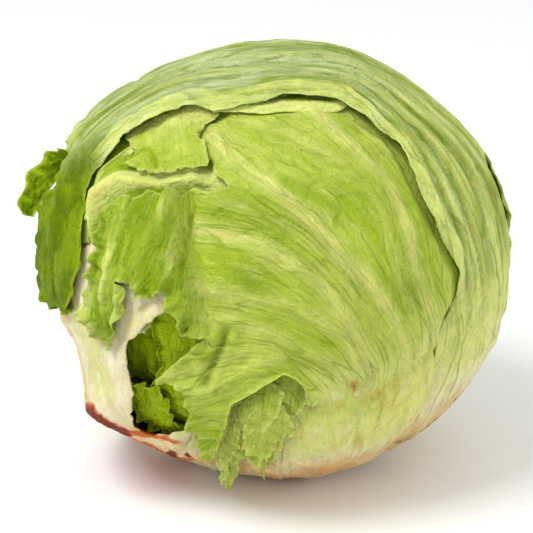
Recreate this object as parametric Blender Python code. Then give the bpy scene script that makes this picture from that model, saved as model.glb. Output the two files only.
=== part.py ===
"""A head of iceberg lettuce, standing on the cut face of its stem.

Every leaf is a thin closed shell wrapped round one rounded head. A leaf is drawn as a flat pattern:
each point is an angle to the right and an angle up, in degrees over the head, from the point that
the leaf faces. The pattern is cut into triangles, carried onto the head at the leaf's own layer,
and given a thickness, so both faces of a leaf have the same triangles. Sizes are in millimetres.
"""

import math

import bpy
import numpy as np
from mathutils import Vector
from mathutils.geometry import delaunay_2d_cdt

# Head
HALF_WIDTH = 81.0
HALF_HEIGHT = 75.8
HALF_DEPTH = 78.0
CENTRE_HEIGHT = 71.5
FACE_TILT = 20.0
LEAF_FOOT = 0.5
FOOT_ROUNDING = 1.2

# Swells round the outline seen from the front: direction and width in degrees, and height
SWELLS = ((20.0, 12.0, 0.8), (48.0, 12.0, -1.6), (106.0, 18.0, -1.4), (147.0, 14.0, 1.6),
          (257.0, 14.0, -1.8))

# Broken leaf base at the lower left: its hollow, its corner and its cut
HOLLOW = (202.0, 11.0, 5.4)
CORNER = (222.5, 6.5, 7.0)
CUT_HEADING = (-0.5, -0.866)
CUT_DISTANCE = 76.8

# Leaves
LEAF_THICKNESS = 0.9
LEAF_CLEARANCE = 1.6
LEAF_GAP = 0.8
TUCK_LEDGE = 3.0
TUCK_LENGTH = 12.0
RIM_HEIGHT = 2.4
RIM_INSET = 3.4
RIM_WIDTH = 3.0
RIM_ARC = (72.0, 58.0)
RIM_ENDS = (-28.0, -6.0)
OUTLINE_STEP = 5.5
INNER_LEAF_DEPTH = 10.6

# Hanging tips: how far they stand off, and where they start and stop leaving the head
TIP_DROP = 6.5
TIP_ARC = (56.0, 80.0)

# Spacing of a leaf's points: between ribs, between rims, and between even points as a share
RIM_SPACING = 2.2
RIB_SPACING = 2.6
EVEN_SPACING = 0.62

# Heart: its depth, its laps, its hollow (right, width, up, height, depth) and its base
HEART_DEPTH = 14.5
HEART_RINGS = 13
HEART_LAPS = 5.0
HEART_LAP_STEP = 1.6
HEART_HOLLOW = (-27.0, 14.0, -38.0, 16.0, 5.0)
HEART_BASE_RISE = 4.0

# Curl on the left leaf
CURL_WIDTH = 9.5
CURL_RUFFLE = 1.6
CURL_RUFFLES = 3.5
CURL_STEPS = 16
CURL_ENDS = (0.16, 0.92)
CURL_CUP = 4.0

# Stem
STEM_RADIUS = 16.0
STEM_TOP_RADIUS = 11.5
STEM_HEIGHT = 19.0
STEM_SIDES = 28
BASE_OPENING = 14.0
PIECE_GAP = 0.3

MM = 0.001


def leaf_axes(azimuth, tilt):
    """Facing, right and up directions of a pattern that looks out at this azimuth and tilt."""
    a = math.radians(azimuth)
    t = math.radians(tilt)
    facing = np.array([math.sin(a) * math.cos(t), -math.cos(a) * math.cos(t), math.sin(t)])
    right = np.array([math.cos(a), math.sin(a), 0.0])
    return facing, right, np.cross(facing, right)


FACE = leaf_axes(0.0, FACE_TILT)


def onto_sphere(axes, pattern):
    """Directions of pattern points: each lies at its own angle from the facing direction."""
    facing, right, up = axes
    pattern = np.atleast_2d(np.asarray(pattern, float))
    angle = np.hypot(pattern[:, 0], pattern[:, 1])
    safe = np.maximum(angle, 1e-9)
    across = pattern[:, 0] / safe
    rise = pattern[:, 1] / safe
    turn = np.radians(angle)
    sideways = across[:, None] * right + rise[:, None] * up
    return np.cos(turn)[:, None] * facing + np.sin(turn)[:, None] * sideways


def onto_pattern(axes, directions):
    """The pattern points of directions."""
    facing, right, up = axes
    turn = np.degrees(np.arccos(np.clip(directions @ facing, -1.0, 1.0)))
    across = directions @ right
    rise = directions @ up
    size = np.maximum(np.hypot(across, rise), 1e-9)
    return np.stack([turn * across / size, turn * rise / size], axis=1)


def smooth_step(low, high, value):
    """0 below low, 1 above high, with a smooth rise between."""
    t = np.clip((value - low) / (high - low), 0.0, 1.0)
    return t * t * (3.0 - 2.0 * t)


def view_angles(directions):
    """Angle off the face's middle, and the angle round it from the right, both in degrees."""
    facing, right, up = FACE
    off = np.degrees(np.arccos(np.clip(directions @ facing, -1.0, 1.0)))
    round_it = np.degrees(np.arctan2(directions @ up, directions @ right)) % 360.0
    return off, round_it


def side_bump(directions, bump):
    """A bump on the head's outline: heading, width and height, fading towards the face."""
    heading, width, height = bump
    off, round_it = view_angles(directions)
    apart = (round_it - heading + 180.0) % 360.0 - 180.0
    return height * np.exp(-(apart / width) ** 2) * smooth_step(45.0, 80.0, off)


def head_radius(directions, depth):
    """Distance from the head's centre to a layer: an ellipsoid, flat where it meets the surface."""
    facing, right, up = FACE
    across = directions @ right / HALF_WIDTH
    rise = directions @ up / HALF_HEIGHT
    out = directions @ facing / HALF_DEPTH
    round_part = 1.0 / np.sqrt(across ** 2 + rise ** 2 + out ** 2) - depth
    for swell in SWELLS:
        round_part += side_bump(directions, swell)
    down = np.maximum(-directions[:, 2], 1e-3)
    flat_part = np.minimum((CENTRE_HEIGHT - LEAF_FOOT - depth) / down, 4.0 * HALF_WIDTH)
    sharp = np.minimum(round_part, flat_part)
    spread = np.abs(round_part - flat_part)
    return sharp - FOOT_ROUNDING * np.exp(-spread / FOOT_ROUNDING)


def base_arc(axes, start, end, steps=5):
    """Pattern points round the stem from one azimuth to another, where a leaf grows from it."""
    turn = np.radians(np.linspace(start, end, steps))
    opening = math.radians(BASE_OPENING)
    x = math.sin(opening) * np.sin(turn)
    y = -math.sin(opening) * np.cos(turn)
    z = np.full(steps, -math.cos(opening))
    return [tuple(point) for point in onto_pattern(axes, np.stack([x, y, z], axis=1))]


def ragged_outline(axes, points, seed, tooth):
    """The outline in short steps, with alternate points set in by up to a tooth's depth."""
    rng = np.random.default_rng(seed)
    points = np.asarray(points, float)
    ends = np.roll(points, -1, axis=0)
    outline = []
    for start, end in zip(points, ends):
        a, b = onto_sphere(axes, np.array([start, end]))
        length = HALF_WIDTH * float(np.linalg.norm(b - a))
        steps = max(1, round(length / OUTLINE_STEP))
        along = end - start
        side = np.array([along[1], -along[0]]) / max(float(np.hypot(*along)), 1e-9)
        for step in range(steps):
            point = start + along * step / steps
            if step % 2 and tooth:
                inset = math.degrees(tooth * rng.uniform(0.4, 1.0) / HALF_WIDTH)
                point = point + side * inset
            outline.append(point)
    return np.array(outline)


def inside_outline(points, outline):
    """True for each point that lies within the closed outline."""
    x, y = points[:, 0, None], points[:, 1, None]
    x0, y0 = outline[:, 0], outline[:, 1]
    x1, y1 = np.roll(x0, -1), np.roll(y0, -1)
    crosses = (y0 > y) != (y1 > y)
    rise = np.where(y1 == y0, 1e-12, y1 - y0)
    hits = crosses & (x < (x1 - x0) * (y - y0) / rise + x0)
    return hits.sum(axis=1) % 2 == 1


def distance_to_line(directions, line):
    """Millimetres over the head from each direction to a line of directions, and how far along."""
    start, end = line[:-1], line[1:]
    run = end - start
    size = np.maximum((run ** 2).sum(axis=1), 1e-12)
    along = np.clip(((directions[:, None] - start) * run).sum(axis=2) / size, 0.0, 1.0)
    gap = directions[:, None] - (start + along[..., None] * run)
    far = np.sqrt((gap ** 2).sum(axis=2))
    nearest = far.argmin(axis=1)
    rows = np.arange(len(directions))
    part = (nearest + along[rows, nearest]) / len(run)
    return far[rows, nearest] * HALF_WIDTH, part


class Leaf:
    """A leaf: what its pattern faces, its outline, its ribs and how thick it is."""

    def __init__(self, name, axes, outline, seed, ribs=(), thickness=LEAF_THICKNESS,
                 spacing=10.0, tooth=1.2, rim=0.0, rib_height=0.8, rib_width=3.0, level=None,
                 wave=0.35, sunk=False):
        self.name = name
        self.axes = axes
        corners = np.asarray(outline, float)
        following = np.roll(corners, -1, axis=0)
        area = (corners[:, 0] * following[:, 1] - corners[:, 1] * following[:, 0]).sum()
        if area > 0.0:
            corners = corners[::-1]
        self.outline = ragged_outline(axes, corners, seed, tooth)
        self.margin = onto_sphere(axes, np.vstack([self.outline, self.outline[:1]]))
        self.seed = seed
        self.ribs = [onto_sphere(axes, rib) for rib in ribs]
        self.thickness = thickness
        self.spacing = spacing
        self.rim = rim
        self.rib_height = rib_height
        self.rib_width = rib_width
        self.level = level
        self.wave = wave
        self.sunk = sunk
        self.drop = thickness + LEAF_CLEARANCE

    def inset(self, directions):
        """Millimetres from each direction to the leaf's margin, above zero within the leaf."""
        far, _ = distance_to_line(directions, self.margin)
        within = inside_outline(onto_pattern(self.axes, directions), self.outline)
        return np.where(within, far, -far)

    def cover(self, directions):
        """1 under the leaf and on a ledge round it, falling to 0 over the tuck's length."""
        return smooth_step(-TUCK_LEDGE - TUCK_LENGTH, -TUCK_LEDGE, self.inset(directions))


def stacked_depth(directions, above):
    """How deep the leaves above press a layer, and how much of them lies over it."""
    depth = np.zeros(len(directions))
    covered = np.zeros(len(directions))
    for leaf in above:
        cover = leaf.cover(directions)
        depth += leaf.drop * cover
        covered = np.maximum(covered, cover)
    return depth, covered


def low_waves(directions, seed, reach=9.0):
    """A sum of a few broad waves over the head, between about -1 and 1."""
    rng = np.random.default_rng(seed)
    total = np.zeros(len(directions))
    for _ in range(4):
        heading = rng.normal(size=3)
        heading *= reach * rng.uniform(0.6, 1.3) / np.linalg.norm(heading)
        total += np.sin(directions @ heading + rng.uniform(0.0, 2.0 * math.pi))
    return total / 2.5


def even_directions(spacing):
    """Directions spread evenly over the head, about this many millimetres apart."""
    count = int(4.0 * math.pi * HALF_WIDTH ** 2 / (0.87 * spacing ** 2))
    index = np.arange(count) + 0.5
    height = 1.0 - 2.0 * index / count
    turn = index * math.pi * (3.0 - math.sqrt(5.0))
    ring = np.sqrt(1.0 - height ** 2)
    return np.stack([ring * np.cos(turn), ring * np.sin(turn), height], axis=1)


def keep_apart(points, others, gap):
    """The points that stay at least this many millimetres from all the others."""
    if not len(others) or not len(points):
        return points
    far = np.sqrt(((points[:, None] - others) ** 2).sum(axis=2)).min(axis=1) * HALF_WIDTH
    return points[far > gap]


def rib_rows(leaf):
    """Points on the crest and on both feet of every rib, for the ribs to stand up from."""
    rows = []
    for rib in leaf.ribs:
        steps = np.linspace(0.0, 1.0, 24)
        knots = np.linspace(0.0, 1.0, len(rib))
        path = np.stack([np.interp(steps, knots, rib[:, axis]) for axis in range(3)], axis=1)
        path /= np.linalg.norm(path, axis=1)[:, None]
        lengths = np.linalg.norm(np.diff(path, axis=0), axis=1).sum() * HALF_WIDTH
        count = max(3, int(lengths / leaf.spacing))
        chosen = path[np.linspace(0, len(path) - 1, count).astype(int)]
        heading = np.gradient(chosen, axis=0)
        side = np.cross(chosen, heading)
        side /= np.linalg.norm(side, axis=1)[:, None]
        offset = leaf.rib_width * 1.5 / HALF_WIDTH
        rows += [chosen, chosen + side * offset, chosen - side * offset]
    if not rows:
        return np.zeros((0, 3))
    rows = np.vstack(rows)
    return rows / np.linalg.norm(rows, axis=1)[:, None]


def rim_rows(leaf):
    """Points in two rows within the margin, for a rolled rim to stand up from."""
    if not leaf.rim:
        return np.zeros((0, 3))
    rows = []
    ring = leaf.margin[:-1]
    heading = np.roll(ring, -1, axis=0) - np.roll(ring, 1, axis=0)
    side = np.cross(heading, ring)
    side /= np.linalg.norm(side, axis=1)[:, None]
    for distance in (RIM_INSET, RIM_INSET + 1.6 * RIM_WIDTH):
        for sign in (-1.0, 1.0):
            row = ring + sign * side * distance / HALF_WIDTH
            row /= np.linalg.norm(row, axis=1)[:, None]
            rows.append(row[leaf.inset(row) > 0.8 * distance])
    return np.vstack(rows)


def relief(leaf, directions, covered):
    """How far a leaf stands out of its layer: broad waves, ribs, and a rolled rim."""
    free = 1.0 - covered
    height = leaf.wave * low_waves(directions, leaf.seed) * (0.3 + 0.7 * free)
    for rib in leaf.ribs:
        far, along = distance_to_line(directions, rib)
        taper = 0.35 + 0.65 * (1.0 - along)
        height += leaf.rib_height * taper * np.exp(-(far / leaf.rib_width) ** 2) * free
    if leaf.rim:
        inset = leaf.inset(directions)
        roll = np.exp(-((inset - RIM_INSET) / RIM_WIDTH) ** 2)
        height += leaf.rim * roll * front_rim(directions) * free
    return height


def front_rim(directions):
    """1 along the rim over the face of the head, fading to 0 round the sides and the back."""
    pattern = onto_pattern(FACE, directions)
    angle = np.hypot(pattern[:, 0], pattern[:, 1])
    low = smooth_step(*RIM_ENDS, pattern[:, 1])
    return smooth_step(*RIM_ARC, angle) * low


def pattern_triangles(leaf):
    """The pattern's points and triangles: its outline, rib and rim rows, and even points."""
    margin = leaf.margin[:-1]
    fixed = margin
    inner = np.zeros((0, 3))
    for rows, gap in ((rim_rows(leaf), RIM_SPACING), (rib_rows(leaf), RIB_SPACING),
                      (even_directions(leaf.spacing), EVEN_SPACING * leaf.spacing)):
        if not len(rows):
            continue
        rows = rows[leaf.inset(rows) > min(gap, 0.5 * leaf.spacing)]
        kept = keep_apart(rows, fixed, gap)
        apart = []
        for row in kept:
            if all(np.linalg.norm(row - other) * HALF_WIDTH > gap * 0.8 for other in apart):
                apart.append(row)
        if apart:
            inner = np.vstack([inner, np.array(apart)])
            fixed = np.vstack([margin, inner])
    points = np.vstack([leaf.outline, onto_pattern(leaf.axes, inner)])
    ring = list(range(len(leaf.outline)))
    flat = [Vector((float(x), float(y))) for x, y in points]
    found = delaunay_2d_cdt(flat, [], [ring[::-1]], 1, 1e-5)
    corners = np.array([tuple(point) for point in found[0]])
    return corners, np.array(found[2])


def boundary_edges(triangles):
    """The directed edges that only one triangle has."""
    edges = np.vstack([triangles[:, [0, 1]], triangles[:, [1, 2]], triangles[:, [2, 0]]])
    seen = {}
    for start, end in edges:
        seen[(int(start), int(end))] = True
    return [edge for edge in seen if (edge[1], edge[0]) not in seen]


def new_object(name, points, faces, material):
    """A named object from points in millimetres, with its own material."""
    mesh = bpy.data.meshes.new(name)
    mesh.from_pydata([tuple(float(v) * MM for v in point) for point in points], [], faces)
    mesh.validate()
    mesh.materials.append(material)
    mesh.shade_smooth()
    piece = bpy.data.objects.new(name, mesh)
    bpy.context.scene.collection.objects.link(piece)
    return piece


def shell_object(name, directions, triangles, top, bottom, material):
    """A closed shell between two radii, over triangles that both of its faces share."""
    centre = np.array([0.0, 0.0, CENTRE_HEIGHT])
    outside = centre + directions * top[:, None]
    inside = centre + directions * bottom[:, None]
    count = len(directions)
    a, b, c = (directions[triangles[:, k]] for k in range(3))
    outward = (np.cross(b - a, c - a) * a).sum(axis=1) > 0.0
    triangles = np.where(outward[:, None], triangles, triangles[:, ::-1])
    faces = [tuple(int(v) for v in face) for face in triangles]
    faces += [tuple(int(v) + count for v in face[::-1]) for face in triangles]
    for start, end in boundary_edges(triangles):
        faces.append((end, start, start + count))
        faces.append((end, start + count, end + count))
    return new_object(name, np.vstack([outside, inside]), faces, material)


def leaf_material(name, colour, roughness=0.5):
    """A leaf's own surface colour, with no metal in it."""
    material = bpy.data.materials.new(name)
    material.use_nodes = True
    shader = material.node_tree.nodes["Principled BSDF"]
    shader.inputs["Base Color"].default_value = (*colour, 1.0)
    shader.inputs["Roughness"].default_value = roughness
    shader.inputs["Metallic"].default_value = 0.0
    return material


def hanging_lift(pattern):
    """How far the hanging tips stand off the head: nothing at the lip, most at their ends."""
    return TIP_DROP * smooth_step(*TIP_ARC, np.hypot(pattern[:, 0], pattern[:, 1]))


def broken_base(directions, top):
    """The left leaf base: it bulges at its corner and is cut flat below it."""
    _, right, up = FACE
    across, rise = CUT_HEADING
    toward_cut = directions @ (across * right + rise * up)
    reach = CUT_DISTANCE / np.maximum(toward_cut, 0.05)
    return np.minimum(top + side_bump(directions, CORNER), reach)


def build_leaf(leaf, above, colour):
    """Cut, wrap and thicken one leaf under the leaves above it."""
    pattern, triangles = pattern_triangles(leaf)
    directions = onto_sphere(leaf.axes, pattern)
    depth, covered = stacked_depth(directions, above)
    if leaf.level is not None:
        depth = np.full(len(directions), leaf.level)
        covered = np.zeros(len(directions))
    if leaf.sunk:
        depth = depth + side_bump(directions, HOLLOW)
    raised = relief(leaf, directions, covered)
    top = head_radius(directions, depth) + raised
    bottom = head_radius(directions, depth + leaf.thickness) + np.minimum(raised, 0.35 * raised)
    if leaf.name == "leaf_tips":
        lift = hanging_lift(pattern)
        top = top + lift
        bottom = bottom + lift
    if leaf.name == "leaf_base_left":
        top = broken_base(directions, top)
        bottom = np.minimum(bottom, top - leaf.thickness)
    piece = shell_object(leaf.name, directions, triangles, top, bottom,
                         leaf_material(leaf.name, colour))
    if leaf.name == "leaf_curl_left":
        join_curl(piece)
    return piece


def curl_path(steps):
    """The curl's middle line in the face's right, up and out directions: off the head and down."""
    knots = np.array([(-68.6, 36.4, -17.5), (-72.4, 35.6, -13.5), (-76.6, 32.6, -10.0),
                      (-81.0, 28.2, -7.0), (-84.2, 21.6, -5.5), (-86.0, 15.0, -5.5)])
    along = np.linspace(0.0, len(knots) - 1.0, steps)
    eased = [np.interp(along, range(len(knots)), knots[:, axis]) for axis in range(3)]
    path = np.stack(eased, axis=1)
    path[1:-1] = (path[:-2] + 2.0 * path[1:-1] + path[2:]) / 4.0
    return path


def curl_object():
    """The ruffled margin that stands off the left leaf: a tongue, waved across its width."""
    facing, right, up = FACE
    path = curl_path(CURL_STEPS)
    along = np.linspace(0.0, 1.0, CURL_STEPS)
    outward = path * np.array([1.0, 1.0, 0.0])
    outward /= np.linalg.norm(outward, axis=1)[:, None]
    width = CURL_WIDTH * np.sqrt(np.sin(math.pi * np.linspace(*CURL_ENDS, CURL_STEPS)))
    rows = []
    for face in (0.5, -0.5):
        for across in (-0.5, 0.0, 0.5):
            wave = CURL_RUFFLE * np.sin(2.0 * math.pi * (CURL_RUFFLES * along + 0.12 * across))
            lean = (0.35 + across) * wave + face * LEAF_THICKNESS
            row = path + outward * (across * width)[:, None]
            row[:, 2] += lean - CURL_CUP * across * across * (1.0 - along)
            rows.append(row)
    local = np.vstack(rows)
    points = local[:, :1] * right + local[:, 1:2] * up + local[:, 2:] * facing
    points[:, 2] += CENTRE_HEIGHT
    loop = [0, 1, 2, 5, 4, 3]
    faces = []
    for step in range(CURL_STEPS - 1):
        for here, following in zip(loop, loop[1:] + loop[:1]):
            a, b = here * CURL_STEPS + step, following * CURL_STEPS + step
            faces += [(a, b, b + 1), (a, b + 1, a + 1)]
    for step, ends in ((0, loop[::-1]), (CURL_STEPS - 1, loop)):
        corners = [index * CURL_STEPS + step for index in ends]
        faces += [(corners[0], corners[k], corners[k + 1]) for k in range(1, 5)]
    curl = new_object("curl", points, faces, leaf_material("curl", (0.18, 0.34, 0.03)))
    curl.hide_render = True
    curl.display_type = "WIRE"
    return curl


def join_curl(leaf):
    """Join the curl to the leaf that it grows from."""
    union = leaf.modifiers.new("curl", "BOOLEAN")
    union.operation = "UNION"
    union.solver = "MANIFOLD"
    union.object = curl_object()


def build_heart(colour):
    """The dense ball of inner leaves: its surface steps where one leaf laps over the next."""
    directions, triangles = ball_triangles(HEART_RINGS)
    pattern = onto_pattern(FACE, directions)
    across, width, rise, height, hollow_depth = HEART_HOLLOW
    hollow = np.exp(-((pattern[:, 0] - across) / width) ** 2
                    - ((pattern[:, 1] - rise) / height) ** 2)
    turn = np.arctan2(directions[:, 1], directions[:, 0]) + 1.6 * directions[:, 2]
    lap = (turn * HEART_LAPS / (2.0 * math.pi)) % 1.0
    near_base = smooth_step(-0.80, -0.97, directions[:, 2])
    depth = (HEART_DEPTH + HEART_LAP_STEP * lap + hollow_depth * hollow
             + HEART_BASE_RISE * near_base)
    radius = head_radius(directions, depth)
    floor = STEM_HEIGHT + PIECE_GAP
    down = np.maximum(-directions[:, 2], 1e-3)
    radius = np.minimum(radius, (CENTRE_HEIGHT - floor) / down)
    centre = np.array([0.0, 0.0, CENTRE_HEIGHT])
    faces = [tuple(int(v) for v in face) for face in triangles]
    return new_object("heart", centre + directions * radius[:, None], faces,
                      leaf_material("heart", colour))


def ball_triangles(rings):
    """A ball of triangles in rings round the head's axis, with its poles closed."""
    points = [(0.0, 0.0, 1.0)]
    sides = 2 * rings
    for ring in range(1, rings):
        lean = math.pi * ring / rings
        for side in range(sides):
            turn = 2.0 * math.pi * (side + 0.5 * (ring % 2)) / sides
            points.append((math.sin(lean) * math.cos(turn), math.sin(lean) * math.sin(turn),
                           math.cos(lean)))
    points.append((0.0, 0.0, -1.0))
    last = len(points) - 1
    faces = []
    for side in range(sides):
        following = (side + 1) % sides
        faces.append((0, 1 + side, 1 + following))
        faces.append((last, last - sides + following, last - sides + side))
    for ring in range(rings - 2):
        for side in range(sides):
            following = (side + 1) % sides
            near, far = 1 + ring * sides, 1 + (ring + 1) * sides
            if ring % 2:
                faces.append((near + side, far + side, near + following))
                faces.append((near + following, far + side, far + following))
            else:
                faces.append((near + side, far + side, far + following))
                faces.append((near + side, far + following, near + following))
    return np.array(points), np.array(faces)


def build_stem(colour):
    """The cut stem: a short plug, flat where it was cut, tapering up to the heart."""
    profile = [(STEM_RADIUS - 0.8, 0.0), (STEM_RADIUS, 0.8), (STEM_RADIUS - 1.0, 7.0),
               (STEM_TOP_RADIUS + 1.0, 14.0), (STEM_TOP_RADIUS, STEM_HEIGHT)]
    points = []
    for radius, height in profile:
        for side in range(STEM_SIDES):
            turn = 2.0 * math.pi * side / STEM_SIDES
            points.append((radius * math.cos(turn), radius * math.sin(turn), height))
    faces = []
    for row in range(len(profile) - 1):
        for side in range(STEM_SIDES):
            following = (side + 1) % STEM_SIDES
            low, high = row * STEM_SIDES, (row + 1) * STEM_SIDES
            faces.append((low + side, low + following, high + following, high + side))
    faces.append(tuple(range(STEM_SIDES))[::-1])
    faces.append(tuple(range(len(points) - STEM_SIDES, len(points))))
    return new_object("stem", points, faces, leaf_material("stem", colour, 0.7))


# Outlines, in degrees to the right and up from the point that each leaf faces

CROWN_RIM = [
    (-94, -21), (-72, -15.5), (-67, -18), (-61.5, -16), (-58.5, -13.5), (-56.5, -9.5), (-52, -1),
    (-51.5, 6.5), (-52.5, 17), (-48.5, 25), (-41.5, 31), (-42, 34), (-34, 37), (-27.5, 40.5),
    (-15.5, 38.5), (-4, 38.5), (11, 41), (17.5, 40.5), (26, 34.5), (31, 31), (36.5, 18),
    (44, 3.5), (49, -4), (47.5, -14), (45, -22), (46.5, -32), (46, -43), (42, -54), (38, -70),
    (24, -88)]
CROWN_BACK = [
    (62, -88), (88, -66), (104, -35), (112, -5), (110, 35), (92, 72), (65, 98), (25, 117),
    (-20, 112), (-52, 92), (-72, 68), (-83, 47), (-89, 28), (-93, 10), (-95, -8)]
CROWN_RIBS = [
    [(46, -60), (56, -28), (54, 0), (44, 26), (24, 47), (-6, 58), (-34, 55)],
    [(56, -62), (68, -30), (68, 2), (56, 34), (32, 60), (-4, 74), (-40, 68)],
    [(66, -64), (82, -30), (84, 6), (70, 44), (40, 76), (-4, 92), (-46, 82)],
    [(-92, -12), (-78, 8), (-66, 26), (-50, 42)]]

SHOULDER = [
    (-42, 34), (-39, 30), (-36, 28.5), (-37.5, 27), (-39, 25.5), (-34.5, 22.5), (-28, 21),
    (-22.5, 22), (-17, 22.5), (-16.5, 24.5), (-18, 29.5), (-19.5, 31), (-18, 34.5), (-15.5, 37),
    (-14, 44), (-18, 52), (-30, 55), (-42, 48), (-46, 40)]

FRONT = [
    (-12.5, 37), (-15, 34), (-17.5, 29.5), (-16.5, 25), (-17, 21), (-12, 17), (-16.5, 16),
    (-21.5, 15), (-24, 17), (-29.5, 16), (-34.5, 15.5), (-39, 16), (-42.5, 14.5), (-45, 13),
    (-46, 8), (-46, 1), (-48.5, -5), (-52, -13), (-50, -19.5), (-43, -22), (-40.5, -18.5),
    (-38, -14), (-36.5, -8.5), (-39, -5.5), (-35, -7), (-32.5, -7), (-35.5, -11), (-30, -9.5),
    (-27.5, -8), (-26, -12), (-23, -15), (-22.5, -18.5), (-16, -18.5), (-23.5, -25),
    (-30.5, -31.5), (-24, -33), (-23.5, -36), (-22.5, -41), (-24.5, -47), (-21.5, -49),
    (-22.5, -57), (-21, -65), (-17.5, -57), (-12.5, -42), (-11, -36), (-5.5, -32), (1, -27.5),
    (4.5, -28), (7.5, -32), (8, -37), (13, -38), (23, -37.5), (27, -34), (37.5, -27),
    (44, -21), (50, -34), (50, -50), (46, -66), (38, -82)]
FRONT_HIDDEN = [
    (62, -78), (66, -55), (66, -30), (62, -8), (53, 8), (45, 24), (35, 38), (24, 46), (5, 47),
    (-9.5, 44)]
FRONT_RIBS = [
    [(36, -28), (28, -14), (17, -1), (5, 9), (-6, 20), (-15, 28)],
    [(32, -31), (22, -20), (12, -11), (0, -3), (-12, 3)],
    [(42, -22), (36, -8), (29, 8), (20, 22), (8, 33)],
    [(46, -22), (42, -8), (37, 4), (31, 17)],
    [(-42, -18), (-41, -8), (-36, 4), (-28, 12)],
    [(12, -34), (4, -24), (-10, -19), (-20, -26)]]

FOLD = [
    (-56, 6), (-51, 7), (-49.5, 9.5), (-46, 13.5), (-42.5, 16), (-39, 17.5), (-35, 18),
    (-31, 17), (-26, 18.5), (-22, 17), (-16.5, 16.5), (-10, 17), (-8, 24), (-14, 31),
    (-24, 35), (-36, 38), (-48, 35), (-56, 24)]
FOLD_RIBS = [[(-52, 9), (-47, 15), (-39, 19.5), (-30, 20.5), (-20, 20), (-11, 18)]]

TIPS = [
    (-12, -36), (-9, -31), (-4, -26), (3, -23), (9, -26), (9, -37), (5, -41), (3, -46),
    (2, -52), (-0.5, -58), (-4, -67), (-5, -60), (-7, -56), (-11, -62), (-15.5, -79),
    (-17.5, -71), (-16, -64), (-18.5, -67), (-18.5, -60), (-20.5, -54), (-19, -45), (-16, -38)]

LOWER = [
    (-24, -52), (-21, -43), (-9, -35), (-1, -32), (6.5, -29), (17, -29), (28, -24), (40, -14),
    (52, -12), (58, -30), (57, -52), (50, -72), (34, -86)]
LOWER_LEFT = [(-14, -90), (-26, -76), (-28, -62)]
LOWER_RIBS = [
    [(2, -90), (1, -70), (-2, -52), (-6, -42)],
    [(14, -88), (18, -68), (17, -50), (12, -38)],
    [(26, -86), (36, -64), (38, -46), (36, -30)]]

BASE_LEFT = [
    (-98, -14), (-84, -8), (-66, -8), (-56, 6), (-49, 12), (-40, 9), (-33, -3), (-24, -8),
    (-26.5, -12), (-31.5, -16), (-36, -20), (-39, -22), (-39, -32), (-39, -37.5), (-41.5, -46),
    (-42, -52), (-38, -55), (-28.5, -51), (-20, -50), (-13, -56), (-10, -74), (-8, -90)]
BASE_LEFT_OUTER = [(-58, -98), (-84, -78), (-102, -52), (-107, -28)]
BASE_LEFT_RIBS = [
    [(-40, -86), (-52, -62), (-52, -40), (-50, -18)],
    [(-62, -84), (-72, -58), (-72, -36), (-70, -16)]]

INNER_LEFT = [
    (-46, -14), (-38, -12), (-34, -17), (-34.5, -24), (-34, -28), (-33, -33), (-35, -37),
    (-37, -41), (-38, -46), (-46, -44), (-48, -30)]
INNER_RIGHT = [
    (-33.5, -16), (-32, -8), (-20, -6), (-12, -14), (-10, -26), (-14, -34), (-22, -32),
    (-26, -34), (-26, -40), (-24, -48), (-22, -52), (-25, -57), (-27, -52), (-33, -56),
    (-36, -54), (-34, -50), (-36, -47), (-37, -41), (-35.5, -36), (-32.5, -31), (-33, -24)]

CURL_LEFT = [
    (50, -60), (54, -30), (52, 0), (47, 24), (36, 42), (16, 52), (-10, 54), (-34, 42),
    (-50, 18), (-56, -12), (-50, -44), (-34, -66)]
CURL_LEFT_RIBS = [
    [(0, -66), (-1, -30), (0, 5), (0, 34)],
    [(8, -62), (22, -34), (32, -8), (36, 14)],
    [(-8, -62), (-22, -34), (-32, -8), (-36, 14)]]

BACK = [
    (38, -62), (52, -36), (58, -4), (54, 28), (38, 52), (12, 64), (-18, 62), (-42, 48),
    (-58, 20), (-60, -10), (-52, -40), (-36, -62)]
BACK_RIBS = [
    [(0, -66), (1, -30), (0, 10), (-2, 46)],
    [(6, -62), (20, -34), (32, -4), (38, 26)],
    [(-6, -62), (-20, -34), (-34, -4), (-40, 26)]]

EDGE_RIGHT = [
    (-46, -52), (-47, -30), (-40, -17), (-35, -4), (-35, 8), (-39, 17), (-38, 23), (-32, 26),
    (-22, 30), (-8, 40), (12, 44), (32, 36), (48, 14), (54, -14), (48, -44), (32, -66)]
EDGE_RIGHT_RIBS = [
    [(0, -66), (-4, -34), (-6, -4), (-6, 22)],
    [(-10, -62), (-22, -38), (-27, -14), (-29, 8)],
    [(8, -62), (22, -36), (28, -8), (28, 18)]]


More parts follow.
